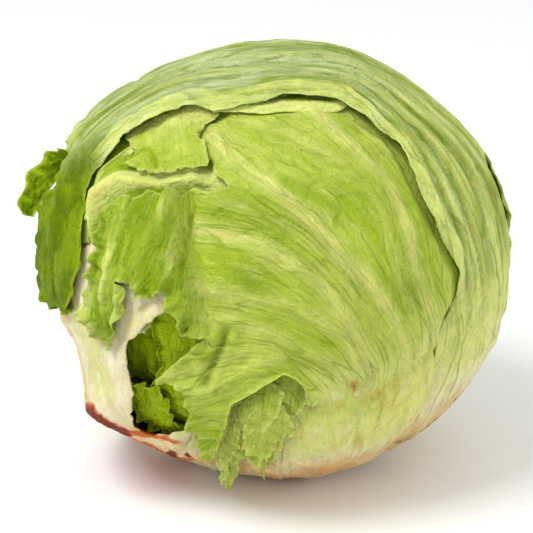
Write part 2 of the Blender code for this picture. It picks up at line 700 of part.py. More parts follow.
def all_leaves():
    """The leaves with their colours, from the outermost layer in."""
    back_right = leaf_axes(125.0, 0.0)
    back_left = leaf_axes(-122.0, 0.0)
    back = leaf_axes(180.0, 0.0)
    return [
        (Leaf("leaf_edge_right", back_right,
              EDGE_RIGHT + base_arc(back_right, 160.0, 88.0), 3, EDGE_RIGHT_RIBS,
              spacing=12.0), (0.30, 0.46, 0.09)),
        (Leaf("leaf_crown", FACE, CROWN_RIM + base_arc(FACE, 30.0, 85.0) + CROWN_BACK, 5,
              CROWN_RIBS, spacing=11.0, tooth=0.8, rim=RIM_HEIGHT), (0.33, 0.47, 0.14)),
        (Leaf("leaf_shoulder", FACE, SHOULDER, 7, spacing=7.0, tooth=0.8),
         (0.50, 0.64, 0.20)),
        (Leaf("leaf_front", FACE, FRONT + base_arc(FACE, 50.0, 82.0) + FRONT_HIDDEN, 9,
              FRONT_RIBS, spacing=9.5, tooth=0.7), (0.40, 0.58, 0.10)),
        (Leaf("leaf_fold", FACE, FOLD, 11, FOLD_RIBS, spacing=7.5, tooth=0.5,
              rib_height=2.0, rib_width=2.6), (0.48, 0.62, 0.20)),
        (Leaf("leaf_tips", FACE, TIPS, 13, spacing=5.0, tooth=0.4, wave=0.5),
         (0.38, 0.58, 0.08)),
        (Leaf("leaf_lower", FACE,
              LOWER + base_arc(FACE, 48.0, -28.0) + LOWER_LEFT, 15, LOWER_RIBS,
              spacing=10.5, tooth=0.6), (0.62, 0.66, 0.36)),
        (Leaf("leaf_base_left", FACE,
              BASE_LEFT + base_arc(FACE, -20.0, -88.0) + BASE_LEFT_OUTER, 17, BASE_LEFT_RIBS,
              thickness=2.2, spacing=7.5, tooth=0.5, sunk=True), (0.78, 0.76, 0.55)),
        (Leaf("leaf_curl_left", back_left,
              CURL_LEFT + base_arc(back_left, -162.0, -82.0), 19, CURL_LEFT_RIBS,
              spacing=11.0, sunk=True), (0.18, 0.34, 0.03)),
        (Leaf("leaf_back", back, BACK + base_arc(back, 138.0, 222.0), 21, BACK_RIBS,
              spacing=10.5, sunk=True), (0.34, 0.50, 0.12)),
        (Leaf("leaf_inner_right", FACE, INNER_RIGHT, 23, spacing=7.0, tooth=0.6, wave=0.3,
              level=INNER_LEAF_DEPTH), (0.24, 0.42, 0.03)),
        (Leaf("leaf_inner_left", FACE, INNER_LEFT, 25, spacing=6.0, tooth=0.6, wave=0.3,
              level=INNER_LEAF_DEPTH + LEAF_THICKNESS + LEAF_GAP), (0.16, 0.32, 0.02))]


def clear_scene():
    """Remove the objects that a new scene starts with."""
    for item in list(bpy.data.objects):
        bpy.data.objects.remove(item, do_unlink=True)


def stand_on_origin():
    """Move every piece so that the origin is under the middle of the head's box."""
    everything = [item for item in bpy.data.objects if item.type == "MESH"]
    corners = np.array([tuple(v.co) for item in everything for v in item.data.vertices])
    low, high = corners.min(axis=0), corners.max(axis=0)
    shift = Vector((-(low[0] + high[0]) / 2.0, -(low[1] + high[1]) / 2.0, -low[2]))
    for item in everything:
        item.location = shift


def main():
    """Build the head from the stem out."""
    clear_scene()
    build_stem((0.55, 0.33, 0.16))
    build_heart((0.26, 0.40, 0.06))
    above = []
    for leaf, colour in all_leaves():
        build_leaf(leaf, above, colour)
        above.append(leaf)
    stand_on_origin()


main()
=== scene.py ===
"""The finished look of a head of iceberg lettuce, around its solid pieces.

Every leaf is drawn as a flat pattern: a point is so many degrees to the right and up, over the
head, from the point that the leaf faces. A fine grid of the pattern is cut to the leaf's margin,
carried onto the head at the leaf's own layer, then given its ribs, pleats, puckers, rolled edges
and thickness. A fan of ribs gives each point its place between two ribs and along them, and the
veins and streaks of the surface follow that. Lengths are in millimetres until a mesh is made.
"""

import math
from types import SimpleNamespace

import bpy
import numpy as np
from mathutils import Matrix, Vector


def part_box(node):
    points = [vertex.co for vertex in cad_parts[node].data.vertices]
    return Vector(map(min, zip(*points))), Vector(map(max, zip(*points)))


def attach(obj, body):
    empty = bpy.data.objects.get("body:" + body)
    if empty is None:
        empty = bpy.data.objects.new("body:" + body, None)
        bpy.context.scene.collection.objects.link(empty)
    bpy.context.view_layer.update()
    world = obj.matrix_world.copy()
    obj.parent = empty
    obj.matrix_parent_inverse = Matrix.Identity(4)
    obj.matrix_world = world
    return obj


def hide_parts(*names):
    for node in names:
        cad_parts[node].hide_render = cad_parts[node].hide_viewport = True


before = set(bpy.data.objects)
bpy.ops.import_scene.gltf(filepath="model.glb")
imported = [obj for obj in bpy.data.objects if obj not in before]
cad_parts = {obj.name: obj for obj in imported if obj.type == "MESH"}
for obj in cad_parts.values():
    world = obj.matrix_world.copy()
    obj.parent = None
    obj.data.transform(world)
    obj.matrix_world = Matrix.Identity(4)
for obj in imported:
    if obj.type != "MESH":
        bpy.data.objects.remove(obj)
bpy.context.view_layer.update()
STEM_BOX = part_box("stem")

MM = 0.001

# Head, as the solid pieces have it
HALF_WIDTH = 81.0
HALF_HEIGHT = 75.8
HALF_DEPTH = 78.0
CENTRE_HEIGHT = 71.5
FACE_TILT = 20.0
LEAF_FOOT = 0.5
FOOT_ROUNDING = 1.2
BASE_OPENING = 14.0
SWELLS = ((20.0, 12.0, 0.8), (48.0, 12.0, -1.6), (106.0, 18.0, -1.4), (147.0, 14.0, 1.6),
          (257.0, 14.0, -1.8))
HOLLOW = (202.0, 11.0, 5.4)
CORNER = (222.5, 6.5, 7.0)
BUMP_FADE = (45.0, 80.0)
CUT_HEADING = (-0.5, -0.866)
CUT_DISTANCE = 76.8

HEAD_CENTRE = np.array([(STEM_BOX[0][0] + STEM_BOX[1][0]) / 2.0 / MM,
                        (STEM_BOX[0][1] + STEM_BOX[1][1]) / 2.0 / MM,
                        STEM_BOX[0][2] / MM + CENTRE_HEIGHT])

# Finished leaves
LEAF_CLEARANCE = 1.0
TUCK_LEDGE = 0.8
TUCK_LENGTH = 5.0
LEAF_THICKNESS = 0.7
BASE_THICKNESS = 1.4
EDGE_THINNING = 1.6
MARGIN_STEP = 0.9
CHUNK = 4096
NOISE_CELLS = 64
RIB_STEP = 2.5
LINE_STEP = 1.5
LAYER_STEP = 4.0
MOST_DRAW = 1.4
ROLL_REACH = 2.6
RIB_GAP = 12.0
FLOW_UNIT = 100.0


def paint(red, green, blue):
    """A surface colour from its 0 to 255 screen values, as linear light."""
    value = np.array([red, green, blue]) / 255.0
    return np.where(value <= 0.04045, value / 12.92, ((value + 0.055) / 1.055) ** 2.4)


CROWN_GREEN = paint(146, 162, 66)
CROWN_BLOOM = paint(190, 201, 150)
CROWN_DEEP = paint(98, 122, 18)
RIM_PALE = paint(206, 215, 118)
LOBE_GREEN = paint(116, 138, 2)
LOBE_DEEP = paint(82, 106, 0)
FACE_GREEN = paint(147, 169, 22)
FACE_DEEP = paint(122, 148, 4)
FACE_PALE = paint(180, 193, 86)
RIB_PALE = paint(212, 214, 130)
RIB_YELLOW = paint(200, 192, 80)
CREAM = paint(216, 205, 166)
CREAM_GREEN = paint(196, 202, 114)
WHITE_BASE = paint(226, 218, 192)
BLUSH = paint(210, 156, 84)
RUST = paint(190, 84, 6)
RUST_DARK = paint(108, 26, 2)
INNER_GREEN = paint(156, 180, 6)
INNER_DEEP = paint(84, 112, 0)
FRILL_GREEN = paint(122, 148, 4)
FRILL_EDGE = paint(176, 188, 50)
STEM_TAN = paint(190, 146, 90)


def mixed(first, second, share):
    """Colours between two, by a share from 0 to 1 for each point."""
    share = np.clip(share, 0.0, 1.0)[:, None]
    return first * (1.0 - share) + second * share


def coated(tint, *coats):
    """A colour with others laid over it: each coat is a colour and its share."""
    for colour, share in coats:
        tint = mixed(tint, colour, share)
    return tint


def smooth_step(low, high, value):
    """0 below low, 1 above high, with a smooth rise between."""
    t = np.clip((value - low) / (high - low), 0.0, 1.0)
    return t * t * (3.0 - 2.0 * t)


def bell(value, width):
    """1 at zero, falling to 0 over about the width on either side."""
    return np.exp(-(value / width) ** 2)


def value_noise(x, y, seed):
    """Smooth noise from -1 to 1: random values at whole numbers, eased between them."""
    table = np.random.default_rng(seed).uniform(-1.0, 1.0, (NOISE_CELLS, NOISE_CELLS))
    column = np.floor(x).astype(int)
    row = np.floor(y).astype(int)
    fx = smooth_step(0.0, 1.0, x - column)
    fy = smooth_step(0.0, 1.0, y - row)
    left, right = column % NOISE_CELLS, (column + 1) % NOISE_CELLS
    near, far = (table[left, high] * (1.0 - fx) + table[right, high] * fx
                 for high in (row % NOISE_CELLS, (row + 1) % NOISE_CELLS))
    return near * (1.0 - fy) + far * fy


def crease_lines(x, y, seed, width=0.14):
    """1 along thin wandering lines, where smooth noise passes through zero, 0 between them."""
    fade = smooth_step(-0.3, 0.3, value_noise(x * 0.7 + 5.0, y * 0.7, seed + 50))
    return bell(value_noise(x, y, seed), width) * fade


def layered_noise(x, y, seed, octaves=3):
    """Noise in octaves: each is twice as fine and half as strong as the one before."""
    total = np.zeros(np.shape(x))
    for octave in range(octaves):
        scale = 2.0 ** octave
        total += value_noise(x * scale + 7.3 * octave, y * scale + 3.1 * octave,
                             seed + octave) / scale
    return total / 1.6


def leaf_axes(azimuth, tilt):
    """Facing, right and up directions of a pattern that looks out at this azimuth and tilt."""
    a = math.radians(azimuth)
    t = math.radians(tilt)
    facing = np.array([math.sin(a) * math.cos(t), -math.cos(a) * math.cos(t), math.sin(t)])
    right = np.array([math.cos(a), math.sin(a), 0.0])
    return facing, right, np.cross(facing, right)


FACE = leaf_axes(0.0, FACE_TILT)


def onto_head(axes, pattern):
    """Directions of pattern points: each lies at its own angle from the facing direction."""
    facing, right, up = axes
    pattern = np.atleast_2d(np.asarray(pattern, float))
    angle = np.hypot(pattern[:, 0], pattern[:, 1])
    safe = np.maximum(angle, 1e-9)
    turn = np.radians(angle)
    sideways = (pattern[:, 0] / safe)[:, None] * right + (pattern[:, 1] / safe)[:, None] * up
    return np.cos(turn)[:, None] * facing + np.sin(turn)[:, None] * sideways


def onto_pattern(axes, directions):
    """The pattern points of directions."""
    facing, right, up = axes
    turn = np.degrees(np.arccos(np.clip(directions @ facing, -1.0, 1.0)))
    across = directions @ right
    rise = directions @ up
    size = np.maximum(np.hypot(across, rise), 1e-9)
    return np.stack([turn * across / size, turn * rise / size], axis=1)


def side_bump(directions, bump):
    """A bump on the head's outline: heading, width and height, fading towards the face."""
    heading, width, height = bump
    facing, right, up = FACE
    off = np.degrees(np.arccos(np.clip(directions @ facing, -1.0, 1.0)))
    round_it = np.degrees(np.arctan2(directions @ up, directions @ right)) % 360.0
    apart = (round_it - heading + 180.0) % 360.0 - 180.0
    return height * bell(apart, width) * smooth_step(*BUMP_FADE, off)


def head_radius(directions, depth):
    """Distance from the head's centre to a layer: an ellipsoid, flat where it meets the surface."""
    facing, right, up = FACE
    across = directions @ right / HALF_WIDTH
    rise = directions @ up / HALF_HEIGHT
    out = directions @ facing / HALF_DEPTH
    round_part = 1.0 / np.sqrt(across ** 2 + rise ** 2 + out ** 2) - depth
    for swell in SWELLS:
        round_part += side_bump(directions, swell)
    down = np.maximum(-directions[:, 2], 1e-3)
    flat_part = np.minimum((CENTRE_HEIGHT - LEAF_FOOT - depth) / down, 4.0 * HALF_WIDTH)
    sharp = np.minimum(round_part, flat_part)
    spread = np.abs(round_part - flat_part)
    return sharp - FOOT_ROUNDING * np.exp(-spread / FOOT_ROUNDING)


def base_arc(axes, start, end, steps=7):
    """Pattern points round the stem from one azimuth to another, where a leaf grows from it."""
    turn = np.radians(np.linspace(start, end, steps))
    opening = math.radians(BASE_OPENING)
    x = math.sin(opening) * np.sin(turn)
    y = -math.sin(opening) * np.cos(turn)
    z = np.full(steps, -math.cos(opening))
    return [tuple(point) for point in onto_pattern(axes, np.stack([x, y, z], axis=1))]


def inside_outline(points, outline):
    """True for each point that lies within the closed outline, by counting crossings."""
    x0, y0 = outline[:, 0], outline[:, 1]
    x1, y1 = np.roll(x0, -1), np.roll(y0, -1)
    rise = np.where(y1 == y0, 1e-12, y1 - y0)
    within = np.zeros(len(points), bool)
    for start in range(0, len(points), CHUNK):
        x = points[start:start + CHUNK, 0, None]
        y = points[start:start + CHUNK, 1, None]
        crosses = ((y0 > y) != (y1 > y)) & (x < (x1 - x0) * (y - y0) / rise + x0)
        within[start:start + CHUNK] = crosses.sum(axis=1) % 2 == 1
    return within


def nearest_on_line(directions, line):
    """For each direction: millimetres to a line, its nearest run and how far along that is."""
    start, run = line[:-1], np.diff(line, axis=0)
    size = np.maximum((run ** 2).sum(axis=1), 1e-12)
    offset = (start * run).sum(axis=1)
    far = np.zeros(len(directions))
    index = np.zeros(len(directions), int)
    along = np.zeros(len(directions))
    for first in range(0, len(directions), CHUNK):
        part = directions[first:first + CHUNK]
        share = np.clip((part @ run.T - offset) / size, 0.0, 1.0)
        dot_start = part @ start.T
        dot_run = part @ run.T
        gap = (1.0 + (start ** 2).sum(axis=1) + share ** 2 * size - 2.0 * dot_start
               - 2.0 * share * dot_run + 2.0 * share * offset)
        nearest = gap.argmin(axis=1)
        rows = np.arange(len(part))
        far[first:first + CHUNK] = np.sqrt(np.maximum(gap[rows, nearest], 0.0))
        index[first:first + CHUNK] = nearest
        along[first:first + CHUNK] = share[rows, nearest]
    return far * HALF_WIDTH, index, along


def even_line(points, step, rounding=1.0):
    """A line through the points, eased by Catmull-Rom, at even steps along its length."""
    points = np.asarray(points, float)
    before = np.vstack([points[:1], points[:-2]])
    after = np.vstack([points[2:], points[-1:]])
    return eased_runs(before, points[:-1], points[1:], after, step, rounding, points[-1:])


def even_ring(points, step, rounding=1.0):
    """A closed line through the points, eased by Catmull-Rom, at even steps round it."""
    points = np.asarray(points, float)
    following = np.roll(points, -1, axis=0)
    return eased_runs(np.roll(points, 1, axis=0), points, following, np.roll(points, -2, axis=0),
                      step, rounding, points[:1])


def eased_runs(before, start, end, after, step, rounding, last):
    """Points along each run between start and end, bent by its neighbours, then spaced evenly."""
    t = np.linspace(0.0, 1.0, 12, endpoint=False)[None, :, None]
    a, b, c, d = (part[:, None, :] for part in (before, start, end, after))
    bent = 0.5 * (2.0 * b + (c - a) * t + (2.0 * a - 5.0 * b + 4.0 * c - d) * t ** 2
                  + (3.0 * b - a - 3.0 * c + d) * t ** 3)
    straight = b + (c - b) * t
    line = (straight * (1.0 - rounding) + bent * rounding).reshape(-1, start.shape[1])
    line = np.vstack([line, last])
    travelled = np.concatenate([[0.0], np.cumsum(np.linalg.norm(np.diff(line, axis=0), axis=1))])
    count = max(4, int(round(travelled[-1] / step)))
    places = np.linspace(0.0, travelled[-1], count + 1)
    return np.stack([np.interp(places, travelled, line[:, axis])
                     for axis in range(line.shape[1])], axis=1)


class Layer:
    """A leaf's place among the others: its coarse outline and how deep it presses those below."""

    def __init__(self, axes, corners, thickness=0.9):
        self.axes = axes
        self.outline = even_ring(corners, LAYER_STEP, 0.0)[:-1]
        self.line = onto_head(axes, np.vstack([self.outline, self.outline[:1]]))
        self.drop = thickness + LEAF_CLEARANCE

    def cover(self, directions):
        """1 under the leaf and on a ledge round it, falling to 0 over the tuck's length."""
        far, _, _ = nearest_on_line(directions, self.line)
        within = inside_outline(onto_pattern(self.axes, directions), self.outline)
        inset = np.where(within, far, -far)
        return smooth_step(-TUCK_LEDGE - TUCK_LENGTH, -TUCK_LEDGE, inset)


class Sheet:
    """A leaf's pattern on a fine grid, cut to its margin.

    right and up are pattern degrees, way the direction from the head's centre, inset the
    millimetres in from the margin, out the direction towards it and round the place along it.
    """

    def __init__(self, axes, corners, ribs, step, tooth=0.0, tooth_length=4.0, seed=1,
                 rounding=0.7):
        self.axes = axes
        self.margin = self.torn_margin(np.asarray(corners, float), tooth, tooth_length, seed,
                                       rounding)
        low = self.margin.min(axis=0) - step
        high = self.margin.max(axis=0) + step
        columns = np.arange(low[0], high[0] + step, step)
        rows = np.arange(low[1], high[1] + step, step)
        right, up = np.meshgrid(columns, rows, indexing="ij")
        pattern = np.stack([right.ravel(), up.ravel()], axis=1)
        middles = (pattern.reshape(len(columns), len(rows), 2)[:-1, :-1]
                   + step / 2.0).reshape(-1, 2)
        kept = inside_outline(middles, self.margin)
        index = np.arange(len(pattern)).reshape(len(columns), len(rows))
        quads = np.stack([index[:-1, :-1], index[1:, :-1], index[1:, 1:], index[:-1, 1:]],
                         axis=2).reshape(-1, 4)[kept]
        used, quads = np.unique(quads, return_inverse=True)
        self.quads = quads.reshape(-1, 4)
        self.pattern = pattern[used]
        self.rim = self.boundary()
        self.way = onto_head(axes, self.pattern)
        self.find_margin()
        self.pattern[self.rim_points] = self.nearest_pattern[self.rim_points]
        self.way = onto_head(axes, self.pattern)
        self.inset[self.rim_points] = 0.0
        self.right = self.pattern[:, 0]
        self.up = self.pattern[:, 1]
        self.fan(ribs)

    def torn_margin(self, corners, tooth, tooth_length, seed, rounding):
        """The outline at even steps, with pointed teeth: tooth * (1 - 2 |noise|) outwards."""
        following = np.roll(corners, -1, axis=0)
        area = (corners[:, 0] * following[:, 1] - corners[:, 1] * following[:, 0]).sum()
        if area < 0.0:
            corners = corners[::-1]
        degree = math.degrees(1.0 / HALF_WIDTH)
        ring = even_ring(corners, MARGIN_STEP * degree, rounding)[:-1]
        travelled = np.arange(len(ring)) * MARGIN_STEP
        along = np.roll(ring, -1, axis=0) - np.roll(ring, 1, axis=0)
        side = np.stack([along[:, 1], -along[:, 0]], axis=1)
        side /= np.maximum(np.linalg.norm(side, axis=1), 1e-9)[:, None]
        zeros = np.zeros(len(ring))
        coarse = value_noise(travelled / tooth_length, zeros, seed)
        fine = value_noise(travelled / tooth_length * 2.7, zeros + 0.5, seed + 1)
        push = tooth * (0.65 * (1.0 - 2.0 * np.abs(coarse)) + 0.35 * (1.0 - 2.0 * np.abs(fine)))
        return ring + side * (push * degree)[:, None]

    def boundary(self):
        """The directed edges with only one quad, which the shell's side wall stands on."""
        q = self.quads
        edges = np.vstack([q[:, [0, 1]], q[:, [1, 2]], q[:, [2, 3]], q[:, [3, 0]]])
        count = len(self.pattern)
        forward = edges[:, 0] * count + edges[:, 1]
        backward = edges[:, 1] * count + edges[:, 0]
        alone = edges[~np.isin(forward, backward)]
        self.rim_points = np.unique(alone)
        return alone

    def find_margin(self):
        """Nearest point of the margin: how far, where along it, and which way it lies."""
        ring = np.vstack([self.margin, self.margin[:1]])
        line = onto_head(self.axes, ring)
        far, index, along = nearest_on_line(self.way, line)
        self.inset = far
        self.round = (index + along) * MARGIN_STEP
        ahead = np.roll(line[:-1], -3, axis=0) - np.roll(line[:-1], 3, axis=0)
        side = np.cross(ahead, line[:-1])
        side /= np.maximum(np.linalg.norm(side, axis=1), 1e-9)[:, None]
        side = np.vstack([side, side[:1]])
        out = side[index] * (1.0 - along)[:, None] + side[index + 1] * along[:, None]
        out -= self.way * (out * self.way).sum(axis=1)[:, None]
        self.out = out / np.maximum(np.linalg.norm(out, axis=1), 1e-9)[:, None]
        self.nearest_pattern = (ring[index] * (1.0 - along)[:, None]
                                + ring[index + 1] * along[:, None])

    def fan(self, ribs):
        """Place in a fan of ribs: level runs from rib to rib, along runs down them, in millimetres.

        Between two ribs the level is the share of the distance to the first in both distances.
        gaps are the distances to the ribs, and rib is the distance to the nearest one.
        """
        signed = []
        lengths = []
        gaps = []
        for rib in ribs:
            line = onto_head(self.axes, even_line(rib, RIB_STEP))
            far, index, along = nearest_on_line(self.way, line)
            across = np.cross(line[index], line[index + 1])
            signed.append(np.where((across * self.way).sum(axis=1) > 0.0, far, -far))
            total = np.linalg.norm(np.diff(line, axis=0), axis=1).sum() * HALF_WIDTH
            lengths.append((index + along) / (len(line) - 1) * total)
            gaps.append(far)
        signed = np.array(signed)
        gaps = np.array(gaps)
        lengths = np.array(lengths)
        near, far = signed[:-1], signed[1:]
        between = np.clip(near / np.where(np.abs(near - far) < 1e-6, 1e-6, near - far), 0.0, 1.0)
        between = np.where(near <= 0.0, 0.0, np.where(far >= 0.0, 1.0, between))
        self.level = (between.sum(axis=0) + np.minimum(signed[0], 0.0) / RIB_GAP
                      + np.maximum(signed[-1], 0.0) / RIB_GAP)
        weight = 1.0 / (gaps ** 2 + 4.0)
        self.along = (lengths * weight).sum(axis=0) / weight.sum(axis=0)
        self.gaps = gaps
        self.rib = gaps.min(axis=0)

    def gap_to(self, points, rounding=1.0):
        """Millimetres from each point to a line drawn on the pattern."""
        line = onto_head(self.axes, even_line(points, LINE_STEP, rounding))
        return nearest_on_line(self.way, line)[0]

    def clouds(self, across, rise, seed, octaves=3):
        """Noise over the pattern, its cells this many degrees across and high."""
        return layered_noise(self.right / across, self.up / rise, seed, octaves)

    def streaks(self, often, length, seed, octaves=3):
        """Noise along the ribs: this many cells from rib to rib, each so many millimetres long."""
        return layered_noise(self.level * often, self.along / length, seed, octaves)

    def depth_under(self, name):
        """How deep the layers outside a named one press this, and the share of it that is free."""
        depth = np.zeros(len(self.way))
        covered = np.zeros(len(self.way))
        names = list(LAYERS)
        for other in names[:names.index(name)]:
            layer = LAYERS[other]
            cover = layer.cover(self.way)
            depth += layer.drop * cover
            covered = np.maximum(covered, cover)
        return depth, 1.0 - covered

    def steadied(self, points, lift):
        """Raises the points, and draws them to the facing point so that they look no further out.

        A point at angle t from the facing direction moves lift * tan(t) towards it, at most
        MOST_DRAW times the lift.
        """
        facing = self.axes[0]
        level = self.way @ facing
        inwards = facing - self.way * level[:, None]
        slope = np.linalg.norm(inwards, axis=1)
        inwards /= np.maximum(slope, 1e-9)[:, None]
        draw = lift * np.minimum(slope / np.maximum(level, 0.2), MOST_DRAW)
        return points + self.way * lift[:, None] + inwards * draw[:, None]

    def rolled(self, points, width, turn):
        """Rolls the margin outwards: a band this wide bends by this angle into an arc.

        With radius = width / turn, a point bent by angle a stands radius (1 - cos a) off the leaf
        and lies radius (1 - sin a) in from the margin, and the leaf behind it is drawn out to meet
        the arc.
        """
        width = np.maximum(np.broadcast_to(width, self.inset.shape), 1e-3)
        turn = np.radians(np.maximum(np.broadcast_to(turn, self.inset.shape), 1.0))
        radius = width / turn
        reach = np.minimum(radius, width)
        angle = np.clip((width - self.inset) / radius, 0.0, None)
        edge = reach - radius * np.sin(angle)
        lift = radius * (1.0 - np.cos(angle))
        back = ROLL_REACH * width
        drawn = reach + (self.inset - width) * (back - reach) / (back - width)
        placed = np.where(self.inset < width, edge, np.where(self.inset < back, drawn, self.inset))
        self.roll_angle = np.degrees(angle)
        return self.steadied(points + self.out * (self.inset - placed)[:, None], lift)

    def ruffled(self, points, height, reach, length, seed):
        """Waves the margin: height * exp(-inset / reach) * sin(2 pi round / length + drift)."""
        drift = 3.0 * value_noise(self.round / (2.3 * length), self.round * 0.0, seed)
        wave = np.sin(2.0 * math.pi * self.round / length + drift)
        wave += 0.35 * np.sin(4.7 * math.pi * self.round / length + 2.0 * drift)
        lift = height * np.exp(-self.inset / reach) * wave
        return points + self.way * lift[:, None]


def on_head(sheet, depth, relief=0.0):
    """The sheet's points on the head at a depth, raised by a relief."""
    return HEAD_CENTRE + sheet.way * (head_radius(sheet.way, depth) + relief)[:, None]


def point_normals(points, quads):
    """Outward normals of points: the sum of the cross products of their quads' diagonals."""
    across = points[quads[:, 2]] - points[quads[:, 0]]
    rise = points[quads[:, 3]] - points[quads[:, 1]]
    normal = np.cross(across, rise)
    total = np.zeros_like(points)
    for corner in range(4):
        for axis in range(3):
            total[:, axis] += np.bincount(quads[:, corner], normal[:, axis], len(points))
    return total / np.maximum(np.linalg.norm(total, axis=1), 1e-12)[:, None]


class Patch:
    """A closed shell of one sheet, with its colours, its marks and its place in the fan."""

    def __init__(self, sheet, points, tint, marks, thickness=LEAF_THICKNESS):
        quads = sheet.quads
        normal = point_normals(points, quads)
        thin = thickness * (0.4 + 0.6 * smooth_step(0.0, EDGE_THINNING, sheet.inset))
        inner = points - normal * thin[:, None]
        count = len(points)
        start, end = sheet.rim[:, 0], sheet.rim[:, 1]
        walls = np.stack([end, start, start + count, end + count], axis=1)
        self.points = np.vstack([points, inner])
        self.faces = np.vstack([quads, quads[:, ::-1] + count, walls]).tolist()
        self.tint = np.vstack([tint, tint])
        self.marks = np.vstack([marks, marks])
        flow = np.stack([sheet.level * RIB_GAP, sheet.along], axis=1) / FLOW_UNIT
        self.flow = np.vstack([flow, flow])


def marks_of(sheet, veins, streaks, puckers):
    """How strong the veins, the streaks and the fine puckers are at each point, from 0 to 1."""
    shape = sheet.inset.shape
    return np.stack([np.broadcast_to(veins, shape), np.broadcast_to(streaks, shape),
                     np.broadcast_to(puckers, shape)], axis=1)


def finished_piece(name, nodes, patches, material):
    """One object from its patches, with colours, marks and flow on the mesh, for its nodes."""
    offsets = np.cumsum([0] + [len(patch.points) for patch in patches[:-1]])
    points = np.vstack([patch.points for patch in patches]) * MM
    faces = [[corner + offset for corner in face]
             for patch, offset in zip(patches, offsets.tolist()) for face in patch.faces]
    tint = np.vstack([patch.tint for patch in patches])
    marks = np.vstack([patch.marks for patch in patches])
    flow = np.vstack([patch.flow for patch in patches])
    mesh = bpy.data.meshes.new(name)
    mesh.from_pydata(points.tolist(), [], faces)
    for label, values in (("tint", tint), ("marks", marks)):
        attribute = mesh.attributes.new(label, "FLOAT_COLOR", "POINT")
        colours = np.concatenate([np.clip(values, 0.0, 1.0), np.ones((len(values), 1))], axis=1)
        attribute.data.foreach_set("color", colours.astype(np.float32).ravel())
    layer = mesh.uv_layers.new(name="flow")
    corners = np.zeros(len(mesh.loops), np.int32)
    mesh.loops.foreach_get("vertex_index", corners)
    layer.data.foreach_set("uv", flow[corners].astype(np.float32).ravel())
    mesh.materials.append(material)
    mesh.shade_smooth()
    piece = bpy.data.objects.new(name, mesh)
    bpy.context.scene.collection.objects.link(piece)
    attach(piece, "root")
    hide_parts(*nodes)


def linked(tree, kind, inputs=None, **settings):
    """A new node with its settings, and each named input set to a value or joined to an output."""
    node = tree.nodes.new(kind)
    for label, value in settings.items():
        setattr(node, label, value)
    for label, value in (inputs or {}).items():
        if isinstance(value, bpy.types.NodeSocket):
            tree.links.new(value, node.inputs[label])
        else:
            node.inputs[label].default_value = value
    return node


def share_of(tree, value, low, high):
    """The part of the way that a value has come from low to high, kept between 0 and 1."""
    node = linked(tree, "ShaderNodeMapRange", {"Value": value, "From Min": low, "From Max": high},
                  interpolation_type="SMOOTHSTEP")
    return node.outputs["Result"]


def product(tree, value, *factors):
    """One value times the others in turn."""
    for factor in factors:
        value = added(tree, value, factor, "MULTIPLY")
    return value


def blended(tree, share, first, second):
    """A colour between two."""
    first, second = (value if isinstance(value, bpy.types.NodeSocket) else (*value, 1.0)
                     for value in (first, second))
    node = linked(tree, "ShaderNodeMix", {0: share, 6: first, 7: second}, data_type="RGBA")
    return node.outputs[2]


def stretched(tree, place, across, along):
    """Flow coordinates scaled so that one unit is this many millimetres across and along."""
    scale = (FLOW_UNIT / across, FLOW_UNIT / along, 1.0)
    return linked(tree, "ShaderNodeMapping", {"Vector": place, "Scale": scale}).outputs[0]


def added(tree, first, second, operation="ADD"):
    """Two values added, or joined by another operation."""
    return linked(tree, "ShaderNodeMath", {0: first, 1: second}, operation=operation).outputs[0]


def edge_lines(tree, place, scale, width):
    """1 along the edges of random cells, 0 inside them."""
    inputs = {"Vector": place, "Scale": scale}
    cells = linked(tree, "ShaderNodeTexVoronoi", inputs, feature="DISTANCE_TO_EDGE")
    return share_of(tree, cells.outputs["Distance"], width, width * 0.2)


def soft_noise(tree, place, scale, detail=2.0, roughness=0.5):
    """Noise between 0 and 1."""
    inputs = {"Vector": place, "Scale": scale, "Detail": detail, "Roughness": roughness}
    return linked(tree, "ShaderNodeTexNoise", inputs)


